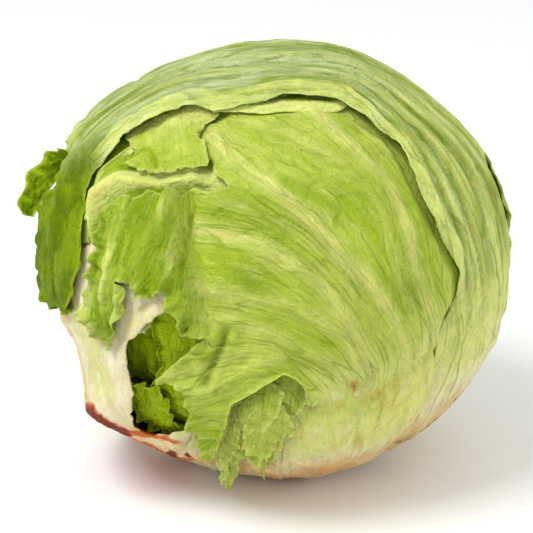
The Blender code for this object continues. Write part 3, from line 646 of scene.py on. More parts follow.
def leaf_finish(name, vein, bloom, vein_gap, streak_gap, vein_share, bloom_share, roughness,
                gloss):
    """A leaf's finish: its own tint, streaked and veined along the flow of its ribs.

    Streaks are noise stretched along the flow, coarse and fine; the coarse ones are paler where the
    bump raises them and dimmer where it lowers them, partly bloom and partly painted highlight and
    shade.
    Veins are the edges of long cells along the flow, bent by noise, that fade in and out; they are
    darkened where the bump presses them in, partly their own colour and partly painted shade. A net
    of smaller cells crosses the puckered parts, darkened along its creases: painted shade. Cloudy
    noise and fine grain vary the whole, brighter where the bump rises: painted light and shade.
    """
    material = bpy.data.materials.new(name)
    material.use_nodes = True
    tree = material.node_tree
    shader = tree.nodes["Principled BSDF"]
    tint = linked(tree, "ShaderNodeAttribute", attribute_name="tint").outputs["Color"]
    marks = linked(tree, "ShaderNodeAttribute", attribute_name="marks").outputs["Color"]
    split = linked(tree, "ShaderNodeSeparateColor", {"Color": marks})
    veined, streaked, puckered = (split.outputs[label] for label in ("Red", "Green", "Blue"))
    flow = linked(tree, "ShaderNodeUVMap", uv_map="flow").outputs["UV"]
    place = linked(tree, "ShaderNodeTexCoord").outputs["Object"]
    drift = soft_noise(tree, place, 90.0, 3.0, 0.6)
    bend = linked(tree, "ShaderNodeVectorMath", {0: drift.outputs["Color"], 1: (0.5, 0.5, 0.5)},
                  operation="SUBTRACT")
    bend = linked(tree, "ShaderNodeVectorMath", {0: bend.outputs[0], "Scale": 0.028},
                  operation="SCALE")
    bent = linked(tree, "ShaderNodeVectorMath", {0: flow, 1: bend.outputs[0]}, operation="ADD")
    bent = bent.outputs[0]

    streak = soft_noise(tree, stretched(tree, bent, streak_gap, streak_gap * 9.0), 1.0, 3.0, 0.65)
    streak = streak.outputs["Fac"]
    fine = soft_noise(tree, stretched(tree, bent, 0.45, 5.0), 1.0, 2.0, 0.6).outputs["Fac"]
    # Paler where the streaks rise in the bump and dimmer where they sink: partly bloom, partly
    # painted highlight and painted shade.
    pale = product(tree, share_of(tree, streak, 0.48, 0.70), bloom_share, streaked)
    colour = blended(tree, pale, tint, bloom)
    dim = product(tree, share_of(tree, streak, 0.48, 0.30), 0.45, streaked)
    colour = blended(tree, dim, colour, vein)

    # The vein lines are darkened and pressed in by the bump: partly the veins' colour, partly
    # painted shade in the grooves.
    line = edge_lines(tree, stretched(tree, bent, vein_gap, vein_gap * 7.0), 1.0, 0.05)
    fade = soft_noise(tree, place, 60.0).outputs["Fac"]
    line = product(tree, line, share_of(tree, fade, 0.38, 0.60), veined)
    colour = blended(tree, product(tree, line, vein_share), colour, vein)
    # The net's creases between the puckers are painted darker: painted shade.
    net = edge_lines(tree, place, 190.0, 0.07)
    net = product(tree, net, share_of(tree, fade, 0.62, 0.40), puckered)
    colour = blended(tree, product(tree, net, vein_share * 0.45), colour, vein)

    # Cloud, and the fine part of the grain, brighten the colour where the bump rises and dim it
    # where it sinks: painted light and painted shade.
    cloud = soft_noise(tree, place, 130.0, 3.0, 0.6).outputs["Fac"]
    lit = linked(tree, "ShaderNodeMapRange", {"Value": cloud, "From Min": 0.25, "From Max": 0.75,
                                              "To Min": 0.88, "To Max": 1.10})
    grain = soft_noise(tree, place, 1300.0).outputs["Fac"]
    grain = added(tree, grain, fine)
    grain = linked(tree, "ShaderNodeMapRange", {"Value": grain, "From Min": 0.6, "From Max": 1.4,
                                                "To Min": 0.86, "To Max": 1.12})
    lit = product(tree, lit.outputs["Result"], grain.outputs["Result"])
    shaded = linked(tree, "ShaderNodeVectorMath", {0: colour, "Scale": lit}, operation="SCALE")
    tree.links.new(shaded.outputs[0], shader.inputs["Base Color"])

    cells = linked(tree, "ShaderNodeTexVoronoi", {"Vector": place, "Scale": 380.0},
                   feature="DISTANCE_TO_EDGE").outputs["Distance"]
    raised = product(tree, share_of(tree, cells, 0.0, 0.4), puckered, 0.5)
    raised = added(tree, raised, product(tree, streak, 1.6, streaked))
    for height, weight, operation in ((fine, 0.5, "ADD"), (cloud, 1.2, "ADD"),
                                      (line, 0.7, "SUBTRACT"), (net, 0.5, "SUBTRACT")):
        raised = added(tree, raised, product(tree, height, weight), operation)
    bump = linked(tree, "ShaderNodeBump", {"Height": raised, "Strength": 0.75, "Distance": 0.0009})
    tree.links.new(bump.outputs["Normal"], shader.inputs["Normal"])
    for label, value in (("Roughness", roughness), ("Specular IOR Level", gloss),
                         ("Subsurface Weight", 0.2), ("Subsurface Radius", (0.7, 1.0, 0.2)),
                         ("Subsurface Scale", 0.002)):
        shader.inputs[label].default_value = value
    return material


def base_angle(sheet):
    """Degrees from the stem's direction, over the head."""
    return np.degrees(np.arccos(np.clip(-sheet.way[:, 2], -1.0, 1.0)))


def toward_stem(sheet, tint, cream, blush, seed, blush_share=0.8):
    """A tint that turns cream, then blushed, as the leaf comes down to the stem.

    cream and blush are the degrees from the stem where each starts and where it is full.
    """
    angle = base_angle(sheet) + 7.0 * sheet.streaks(1.4, 30.0, seed)
    angle -= 0.22 * np.clip(sheet.right - 15.0, 0.0, 60.0)
    tint = coated(tint,
                  (CREAM_GREEN, smooth_step(cream[0], (cream[0] + cream[1]) / 2.0, angle)),
                  (CREAM, smooth_step((cream[0] + cream[1]) / 2.0, cream[1], angle)))
    patches = 0.65 + 0.55 * sheet.streaks(3.0, 14.0, seed + 5)
    share = blush_share * smooth_step(blush[0], blush[1], angle) * patches
    return mixed(tint, BLUSH, share)


# Coarse outlines of the layers, in degrees to the right and up from the point each leaf faces

CROWN_RIM = [
    (-94, -21), (-72, -15.5), (-67, -18), (-61.5, -16), (-58.5, -13.5), (-56.5, -9.5), (-52, -1),
    (-51.5, 6.5), (-52.5, 17), (-48.5, 25), (-41.5, 31), (-42, 34), (-34, 37), (-27.5, 40.5),
    (-15.5, 38.5), (-4, 38.5), (11, 41), (17.5, 40.5), (26, 34.5), (31, 31), (36.5, 18),
    (44, 3.5), (49, -4), (47.5, -14), (45, -22), (46.5, -32), (46, -43), (42, -54), (38, -70),
    (24, -88)]
CROWN_FRONT = [
    (-94, -21), (-80, -17.5), (-72, -15.5), (-69.5, -17.5), (-67, -18), (-64, -17), (-61.5, -16),
    (-58.5, -13.5), (-56.5, -9.5), (-53.5, -5), (-52, -1), (-51.5, 6.5), (-52.5, 12), (-52.5, 17),
    (-51, 21), (-48.5, 25), (-45, 28.5), (-41.5, 31), (-42, 34), (-34, 37), (-27.5, 40.5),
    (-22, 40.5), (-15.5, 38.5), (-9, 39), (-3.5, 40.5), (3, 43), (7, 43.5), (12, 43),
    (17.5, 41.5), (21.5, 38.5), (26, 34.5), (31, 31), (34.5, 25), (36.5, 18), (40.5, 10),
    (44, 3.5), (47, -1), (49, -4), (49, -9), (47.5, -14), (45, -22), (46.5, -32), (46, -43),
    (42, -54), (38, -70), (24, -88)]
CROWN_BACK = [
    (62, -88), (88, -66), (104, -35), (112, -5), (110, 35), (92, 72), (65, 98), (25, 117),
    (-20, 112), (-52, 92), (-72, 68), (-83, 47), (-89, 28), (-93, 10), (-95, -8)]
CROWN_OUTER = CROWN_BACK[:11] + [
    (-77, 52), (-73.5, 43), (-68, 37), (-66, 31), (-70, 25), (-78, 21), (-86, 17), (-92, 8),
    (-95, -8)]
SHOULDER = [
    (-42, 34), (-39, 30), (-36, 28.5), (-37.5, 27), (-39, 25.5), (-34.5, 22.5), (-28, 21),
    (-22.5, 22), (-17, 22.5), (-16.5, 24.5), (-18, 29.5), (-19.5, 31), (-18, 34.5), (-15.5, 37),
    (-14, 44), (-18, 52), (-30, 55), (-42, 48), (-46, 40)]
FRONT = [
    (-12.5, 37), (-15, 34), (-17.5, 29.5), (-16.5, 25), (-17, 21), (-12, 17), (-16.5, 16),
    (-21.5, 15), (-24, 17), (-29.5, 16), (-34.5, 15.5), (-39, 16), (-42.5, 14.5), (-45, 13),
    (-46, 8), (-46, 1), (-48.5, -5), (-52, -13), (-50, -19.5), (-43, -22), (-40.5, -18.5),
    (-38, -14), (-36.5, -8.5), (-39, -5.5), (-35, -7), (-32.5, -7), (-35.5, -11), (-30, -9.5),
    (-27.5, -8), (-26, -12), (-23, -15), (-22.5, -18.5), (-16, -18.5), (-23.5, -25),
    (-30.5, -31.5), (-24, -33), (-23.5, -36), (-22.5, -41), (-24.5, -47), (-21.5, -49),
    (-22.5, -57), (-21, -65), (-17.5, -57), (-12.5, -42), (-11, -36), (-5.5, -32), (1, -27.5),
    (4.5, -28), (7.5, -32), (8, -37), (13, -38), (23, -37.5), (27, -34), (37.5, -27),
    (44, -21), (50, -34), (50, -50), (46, -66), (38, -82)]
FRONT_HIDDEN = [
    (62, -78), (66, -55), (66, -30), (62, -8), (53, 8), (45, 24), (35, 38), (24, 46), (5, 47),
    (-9.5, 44)]
FOLD = [
    (-56, 6), (-51, 7), (-49.5, 9.5), (-46, 13.5), (-42.5, 16), (-39, 17.5), (-35, 18),
    (-31, 17), (-26, 18.5), (-22, 17), (-16.5, 16.5), (-10, 17), (-8, 24), (-14, 31),
    (-24, 35), (-36, 38), (-48, 35), (-56, 24)]
TIPS = [
    (-12, -36), (-9, -31), (-4, -26), (3, -23), (9, -26), (9, -37), (5, -41), (3, -46),
    (2, -52), (-0.5, -58), (-4, -67), (-5, -60), (-7, -56), (-11, -62), (-15.5, -79),
    (-17.5, -71), (-16, -64), (-18.5, -67), (-18.5, -60), (-20.5, -54), (-19, -45), (-16, -38)]
LOWER = [
    (-24, -52), (-21, -43), (-9, -35), (-1, -32), (6.5, -29), (17, -29), (28, -24), (40, -14),
    (52, -12), (58, -30), (57, -52), (50, -72), (34, -86)]
LOWER_LEFT = [(-14, -90), (-26, -76), (-28, -62)]
BASE_LEFT = [
    (-98, -14), (-84, -8), (-66, -8), (-56, 6), (-49, 12), (-40, 9), (-33, -3), (-24, -8),
    (-26.5, -12), (-31.5, -16), (-36, -20), (-39, -22), (-39, -32), (-39, -37.5), (-41.5, -46),
    (-42, -52), (-38, -55), (-28.5, -51), (-20, -50), (-13, -56), (-10, -74), (-8, -90)]
BASE_LEFT_OUTER = [(-58, -98), (-84, -78), (-102, -52), (-107, -28)]
CURL_LEFT = [
    (50, -60), (54, -30), (52, 0), (47, 24), (36, 42), (16, 52), (-10, 54), (-34, 42),
    (-50, 18), (-56, -12), (-50, -44), (-34, -66)]
BACK = [
    (38, -62), (52, -36), (58, -4), (54, 28), (38, 52), (12, 64), (-18, 62), (-42, 48),
    (-58, 20), (-60, -10), (-52, -40), (-36, -62)]
EDGE_RIGHT = [
    (-46, -52), (-47, -30), (-40, -17), (-35, -4), (-35, 8), (-39, 17), (-38, 23), (-32, 26),
    (-22, 30), (-8, 40), (12, 44), (32, 36), (48, 14), (54, -14), (48, -44), (32, -66)]

BACK_RIGHT_AXES = leaf_axes(125.0, 0.0)
BACK_LEFT_AXES = leaf_axes(-122.0, 0.0)
BACK_AXES = leaf_axes(180.0, 0.0)

CROWN_OUTLINE = CROWN_RIM + base_arc(FACE, 30.0, 85.0) + CROWN_BACK
FRONT_OUTLINE = FRONT + base_arc(FACE, 50.0, 82.0) + FRONT_HIDDEN
LOWER_OUTLINE = LOWER + base_arc(FACE, 48.0, -28.0) + LOWER_LEFT
BASE_LEFT_OUTLINE = BASE_LEFT + base_arc(FACE, -20.0, -88.0) + BASE_LEFT_OUTER
CURL_LEFT_OUTLINE = CURL_LEFT + base_arc(BACK_LEFT_AXES, -162.0, -82.0)
BACK_OUTLINE = BACK + base_arc(BACK_AXES, 138.0, 222.0)
EDGE_RIGHT_OUTLINE = EDGE_RIGHT + base_arc(BACK_RIGHT_AXES, 160.0, 88.0)

LAYERS = {
    "edge_right": Layer(BACK_RIGHT_AXES, EDGE_RIGHT_OUTLINE),
    "crown": Layer(FACE, CROWN_OUTLINE),
    "shoulder": Layer(FACE, SHOULDER),
    "front": Layer(FACE, FRONT_OUTLINE),
    "fold": Layer(FACE, FOLD),
    "tips": Layer(FACE, TIPS),
    "lower": Layer(FACE, LOWER_OUTLINE),
    "base_left": Layer(FACE, BASE_LEFT_OUTLINE, 2.2),
    "curl_left": Layer(BACK_LEFT_AXES, CURL_LEFT_OUTLINE),
    "back": Layer(BACK_AXES, BACK_OUTLINE),
}


# Crown leaf

CROWN_FAN = [
    [(112, -30), (118, 0), (116, 36), (94, 76), (64, 100), (24, 118), (-20, 114), (-54, 94)],
    [(86, -64), (101, -34), (107, 0), (97, 36), (76, 66), (38, 90), (0, 96), (-36, 88),
     (-64, 70), (-82, 48), (-90, 20)],
    [(80, -56), (92, -30), (92, 0), (78, 28), (60, 52), (32, 72), (5, 77), (-26, 74), (-56, 60),
     (-76, 40), (-84, 18), (-87, -10)],
    [(70, -60), (78, -34), (76, -10), (68, 10), (54, 35), (31, 59), (5, 63), (-23.5, 60),
     (-50, 49), (-70, 32), (-77, 12), (-80, -16)],
    [(60, -62), (64, -40), (62, -21), (57, 2.5), (47, 27.5), (31, 46), (20, 52), (1.5, 54),
     (-28, 52), (-49, 41), (-62, 25), (-66, 5), (-70, -15)],
    [(50, -66), (51, -45), (52, -28), (50.5, -11), (48.5, 1), (43, 12), (37, 25), (27.5, 38),
     (18, 46), (4, 47), (-9.5, 45), (-28, 45), (-44, 36), (-54, 24), (-57, 5.5), (-62, -14)]]
CROWN_FOLD = [(20, 46.5), (12.5, 49), (6, 49.5), (-1.5, 48.5), (-7, 46), (-16.5, 44.5),
              (-26.5, 44), (-35.5, 40)]
CROWN_SLITS = [
    [(-56, 64), (-52, 65), (-45, 63)], [(-35.5, 60.5), (-30.5, 59.5), (-26.5, 57.5)],
    [(-17, 64.5), (-12.5, 67.5), (-8, 69.5)], [(-14, 58), (-4, 60), (3, 62)],
    [(24, 55), (28, 52), (32, 50)]]
UNDER_EDGE = [
    (-17, 39), (-12, 38), (-8, 37.8), (-3, 37.4), (3, 38), (8, 37.8), (12, 38.1), (16, 38.8),
    (19, 40.6), (21, 43), (19, 46), (15.5, 48), (8.5, 49), (1.5, 48), (-6, 45), (-14, 43)]
RIM_HEADINGS = (-60, 0, 12, 24, 40, 60, 75, 92, 104, 116, 128, 140, 180)
RIM_WIDTHS = (1.0, 1.0, 2.2, 3.2, 3.6, 4.0, 4.5, 4.5, 4.5, 4.0, 3.0, 2.0, 1.6)
RIM_TURNS = (3, 3, 45, 80, 90, 70, 35, 25, 30, 45, 45, 35, 40)
CROWN_CRESTS = ((5, 0.5), (4, 0.6), (3, 0.7), (2, 0.8), (1, 0.8))
RIM_CREST = 4.5
RIM_GROOVE = 8.8


def crown_leaf():
    """The wrapper over the top: pleated at the right, rolled along its rim, a dark lobe at left."""
    sheet = Sheet(FACE, CROWN_FRONT + base_arc(FACE, 30.0, 85.0) + CROWN_OUTER, CROWN_FAN, 0.68,
                  tooth=0.3, seed=101)
    depth, free = sheet.depth_under("crown")
    right, up, level, along = sheet.right, sheet.up, sheet.level, sheet.along
    heading = np.degrees(np.arctan2(up + 15.0, right + 2.0))
    lobe = smooth_step(-44.0, -52.0, right) * smooth_step(42.0, 24.0, up - 0.25 * right - 14.0)
    pleated = smooth_step(12.0, 36.0, right) * smooth_step(74.0, 40.0, up) * (0.5 + 0.5 * free)
    drift = value_noise(along / 40.0, level, 7)
    pleat = np.abs(np.sin(math.pi * (level * 1.7 + 0.3 * drift)))
    wrinkle = crease_lines(level * 4.2, along / 22.0, 12) * (1.0 - 0.6 * lobe)
    creased = crease_lines(right / 7.0, up / 9.0, 16) * lobe
    relief = 0.75 * sheet.streaks(3.2, 30.0, 11, 4) * (0.5 + 0.5 * free)
    relief *= 1.0 - 0.3 * pleated
    relief += 0.7 * sheet.clouds(17.0, 17.0, 13) * free
    relief -= 0.85 * pleated * (1.0 - pleat) ** 3
    relief += 1.3 * lobe * sheet.clouds(5.0, 6.5, 17, 4)
    relief -= 0.6 * wrinkle + 0.9 * creased
    low_edge = smooth_step(16.0, 2.0, heading) * smooth_step(75.0, 60.0, right)
    sink = 2.4 + 1.3 * smooth_step(-17.0, -26.0, up)
    relief -= sink * low_edge * np.exp(-sheet.inset / 7.0)
    rim = smooth_step(4.0, 22.0, heading) * smooth_step(146.0, 130.0, heading) * free
    relief += rim * (1.1 * bell(sheet.inset - RIM_CREST, 2.6)
                     - 0.75 * bell(sheet.inset - RIM_GROOVE, 1.7))
    fine = sheet.streaks(9.0, 26.0, 33)
    relief += 0.3 * fine * (1.0 - lobe) * free
    fold = sheet.gap_to(CROWN_FOLD)
    relief += 1.3 * bell(fold, 2.4) * free
    slit = np.zeros(len(right))
    for points in CROWN_SLITS:
        slit = np.maximum(slit, bell(sheet.gap_to(points), 1.4))
    relief -= 0.9 * slit
    for rib, height in CROWN_CRESTS:
        relief += height * bell(sheet.gaps[rib], 2.2) * free
    points = on_head(sheet, depth, relief)
    width = np.interp(heading, RIM_HEADINGS, RIM_WIDTHS, left=1.5, right=1.5)
    width = width * (1.0 + 0.3 * layered_noise(sheet.round / 11.0, sheet.round * 0.0, 19))
    turn = np.interp(heading, RIM_HEADINGS, RIM_TURNS, left=20.0, right=20.0)
    turn = turn * (1.0 + 0.3 * layered_noise(sheet.round / 9.0, sheet.round * 0.0 + 4.0, 21))
    waved = smooth_step(125.0, 150.0, heading) * smooth_step(92.0, 80.0, np.hypot(right, up))
    points = sheet.ruffled(points, 0.4 + 0.3 * waved, 5.0, 17.0, 23)
    points = sheet.rolled(points, width, turn * (0.1 + 0.9 * free))

    streak = sheet.streaks(4.5, 40.0, 29)
    bloom = smooth_step(-0.5, 0.6, streak) * (1.0 - lobe) * smooth_step(80.0, 8.0, right)
    tint = coated(CROWN_GREEN,
                  (CROWN_BLOOM, 0.85 * bloom),
                  (CROWN_DEEP, 0.25 * smooth_step(40.0, 58.0, up)))
    # The wrinkle part of deep is painted shade in the wrinkle grooves; the streak part is the
    # leaf's own darker green.
    deep = 0.6 * smooth_step(0.1, -0.7, streak) + 0.55 * wrinkle
    # The pleats are painted darker down in their valleys (painted shade) and paler on their crests
    # (painted highlight).
    tint = coated(tint,
                  (CROWN_DEEP, deep * (1.0 - 0.4 * pleated)),
                  (CROWN_DEEP, 0.4 * pleated * (1.0 - pleat) ** 3),
                  (FACE_PALE, 0.55 * pleated * smooth_step(0.55, 1.0, pleat)))
    # Paler on the fine raised streaks and darker in the fine grooves between them: partly the
    # leaf's bloom, partly painted highlight and painted shade.
    pale_fine = mixed(tint, CROWN_BLOOM, 0.45 * smooth_step(0.1, 0.6, fine))
    tint = coated(pale_fine,
                  (RIM_PALE, 0.6 * pleated * smooth_step(0.1, 0.6, fine)),
                  (CROWN_DEEP, (0.5 - 0.1 * pleated) * smooth_step(-0.1, -0.55, fine)))
    speck = sheet.clouds(1.6, 2.4, 39)
    tint = mixed(tint, BLUSH, 0.4 * pleated * smooth_step(0.35, 0.8, speck))
    lobe_tint = mixed(LOBE_GREEN, LOBE_DEEP, smooth_step(-0.4, 0.6, sheet.clouds(7.0, 7.0, 31)))
    tint = coated(tint,
                  (lobe_tint, lobe),
                  (RIB_PALE, 0.35 * bell(sheet.rib, 1.6) * (1.0 - lobe)))
    # The slits are painted darker down in them (painted shade) and paler on their lips (painted
    # highlight); the lobe's creases are painted darker too (painted shade).
    lipped = bell(slit - 0.35, 0.2) * smooth_step(0.05, 0.2, slit)
    tint = coated(tint,
                  (CROWN_BLOOM, 0.4 * lipped),
                  (LOBE_DEEP, 0.5 * smooth_step(0.5, 1.0, slit)),
                  (LOBE_DEEP, 0.6 * creased))
    # The rolled rim and the crest beside it are tinted pale, partly the margin's own paler colour
    # and partly painted highlight on the roll and crest; the groove behind the crest is painted
    # darker, painted shade.
    rolled = smooth_step(15.0, 70.0, sheet.roll_angle)
    patchy = 0.75 + 0.45 * layered_noise(sheet.round / 7.0, sheet.inset / 2.0, 35)
    pale = np.maximum(rolled, rim * smooth_step(8.4, 5.0, sheet.inset))
    tint = coated(tint,
                  (RIM_PALE, 0.85 * pale * patchy * (1.0 - 0.6 * lobe)),
                  (CROWN_DEEP, 0.4 * rim * bell(sheet.inset - RIM_GROOVE, 1.3)))
    stemward = toward_stem(sheet, tint, (92.0, 54.0), (60.0, 40.0), 37)
    tint = coated(tint,
                  (stemward, 1.0 - lobe),
                  (FACE_GREEN, 0.5 * lobe * smooth_step(2.5, 0.6, sheet.inset)))
    calm = 0.4 * smooth_step(15.0, 60.0, right)
    marks = marks_of(sheet, 0.55 + 0.3 * pleated, (1.0 - 0.97 * lobe) * (1.0 - 0.3 * rolled - calm),
                     0.4 + 0.6 * lobe)
    patches = [Patch(sheet, points, tint, marks)]

    edge = Sheet(FACE, UNDER_EDGE, [[(-8, 41), (4, 41), (16, 41), (26, 38)]], 0.4, tooth=0.3,
                 seed=103)
    relief = 0.5 * edge.clouds(5.0, 3.0, 41)
    relief += 1.2 * bell(edge.inset - 2.5, 2.2)
    points = edge.rolled(on_head(edge, 1.3, relief), 2.0, 30.0)
    # Darker further in, where the edge runs under the crown's rim: painted shade; paler at its
    # margin.
    tint = mixed(LOBE_DEEP, RIM_PALE, smooth_step(7.0, 4.6, edge.inset))
    patches.append(Patch(edge, points, tint, marks_of(edge, 0.3, 0.6, 0.5)))
    return patches


# Front leaf

FRONT_EDGE = [
    (-18, 42), (-20, 37), (-21, 32), (-19.5, 27), (-15.5, 24), (-15, 21), (-11, 17), (-15, 15.5),
    (-19, 16.5), (-22, 15), (-25, 17), (-28, 16), (-31, 16.8), (-34.5, 15),
    (-38, 16), (-42, 14), (-45, 10.5), (-46, 5), (-46.5, 0), (-48.5, -5), (-50, -10),
    (-52.5, -14.5), (-51.5, -18.5), (-47, -21), (-42.5, -23.5), (-41, -18.5), (-38, -14),
    (-36.5, -8.5), (-39, -5.5), (-36.5, -6), (-35, -7.5), (-33, -6.5), (-35.5, -11.5),
    (-33, -9.5), (-30, -10), (-27.5, -8), (-26, -12), (-23, -15), (-22.5, -18.5), (-16, -18.5),
    (-19, -21), (-23.5, -25), (-27, -28), (-30.5, -31.5), (-27.5, -32), (-24, -33),
    (-23.5, -36), (-22.5, -41), (-24.5, -47), (-21.5, -49), (-22.5, -57), (-21, -65),
    (-17.5, -57), (-12.5, -42), (-11, -36), (-5.5, -32), (1, -27.5), (4.5, -28), (7.5, -32),
    (8, -37), (13, -38), (18, -37.5), (20, -33), (21.5, -37.5), (27, -34), (37.5, -27),
    (42, -24), (47, -22.5), (56, -30), (56, -50), (48, -66), (38, -82)] + base_arc(FACE, 50.0, 82.0)
FRONT_FAN = [
    [(14, 44), (21.5, 35.5), (31.5, 24.5), (39, 11.5), (42.5, -0.5), (46, -11), (48, -22.5),
     (50, -45), (44, -66)],
    [(6, 42), (12.5, 35), (21, 26), (25, 21.5), (30, 12.5), (32.5, 6.5), (34.5, -2.5),
     (38, -10.5), (42.5, -21), (45, -42), (38, -66)],
    [(-9, 35.5), (5, 30), (18, 22), (23.5, 14.5), (27, 6), (30, -4), (34, -14.5), (37.5, -24),
     (38, -44), (32, -66)],
    [(-17, 31.5), (-11, 25), (-5.5, 20.5), (1, 15.5), (7, 10), (14, 2.5), (18.5, -2.5),
     (25, -9.5), (32.5, -21), (35, -28.5), (33, -46), (26, -66)],
    [(-17, 14.5), (-6, 11), (3.5, 7), (11, 1), (17, -6), (23.5, -15), (30, -26.5), (28, -46),
     (20, -66)],
    [(-18, 6.5), (-8, 4.5), (1, 0.5), (8, -4.5), (12.5, -8.5), (17, -14.5), (21, -21.5),
     (26, -30.5), (23, -48), (14, -66)],
    [(-20.5, -6.5), (-5, -9.5), (2, -11.5), (10.5, -15.5), (17, -19), (20.5, -25.5),
     (23.5, -33), (19, -50), (8, -68)],
    [(-23, -12.5), (-10.5, -15), (-1, -17.5), (6, -21), (14, -26), (19.5, -32), (22.5, -36.5),
     (15, -52), (2, -70)],
    [(-30, -30), (-22, -28), (-12, -24), (-4, -22.5), (5, -24.5), (12, -30), (14, -38),
     (8, -54), (-6, -72)]]
SIDE_FAN = [
    [(-14, 17), (-19.5, 10.5), (-20.5, 3.5), (-22, -7.5), (-26, -14)],
    [(-22, 16), (-25, 4.5), (-31, -7.5), (-34, -11.5)],
    [(-31.5, 15.5), (-34.5, 5), (-38.5, -8), (-41.5, -17.5)],
    [(-41.5, 15.5), (-43.5, 2.5), (-47, -11), (-44.5, -21.5)],
    [(-48, 13), (-50, 2), (-54, -11), (-54, -20)]]
FRONT_CREASE = [(-18.8, 12), (-19.6, 9), (-19.9, 6), (-20.9, 3.2), (-20.7, 0.5), (-21.9, -2),
                (-21.6, -5), (-22.6, -8)]
FRONT_WRINKLE = [(-11.5, -17), (-13, -21), (-15.5, -26), (-17.5, -31)]
FRONT_RIDGE = [(-19.5, -33), (-12.5, -29.5), (-6, -26.5), (-0.5, -23.5), (5, -22), (9.5, -25.5),
               (11, -32)]
FRONT_LIP = [(-14, -41), (-11.5, -36), (-5.5, -32), (1, -27.5), (4.5, -28), (7.5, -32)]
FACE_PATCHES = (((2, 8), 9.0, 5.0), ((20, 14), 6.0, 5.0), ((-10, 12), 7.0, 4.0),
                ((-28, -3), 5.0, 8.0), ((33, -4), 4.0, 9.0), ((-6, -6), 8.0, 4.0))
RIB_STRENGTH = (0.25, 0.9, 0.25, 1.0, 0.25, 0.8, 0.55, 0.3, 0.35)


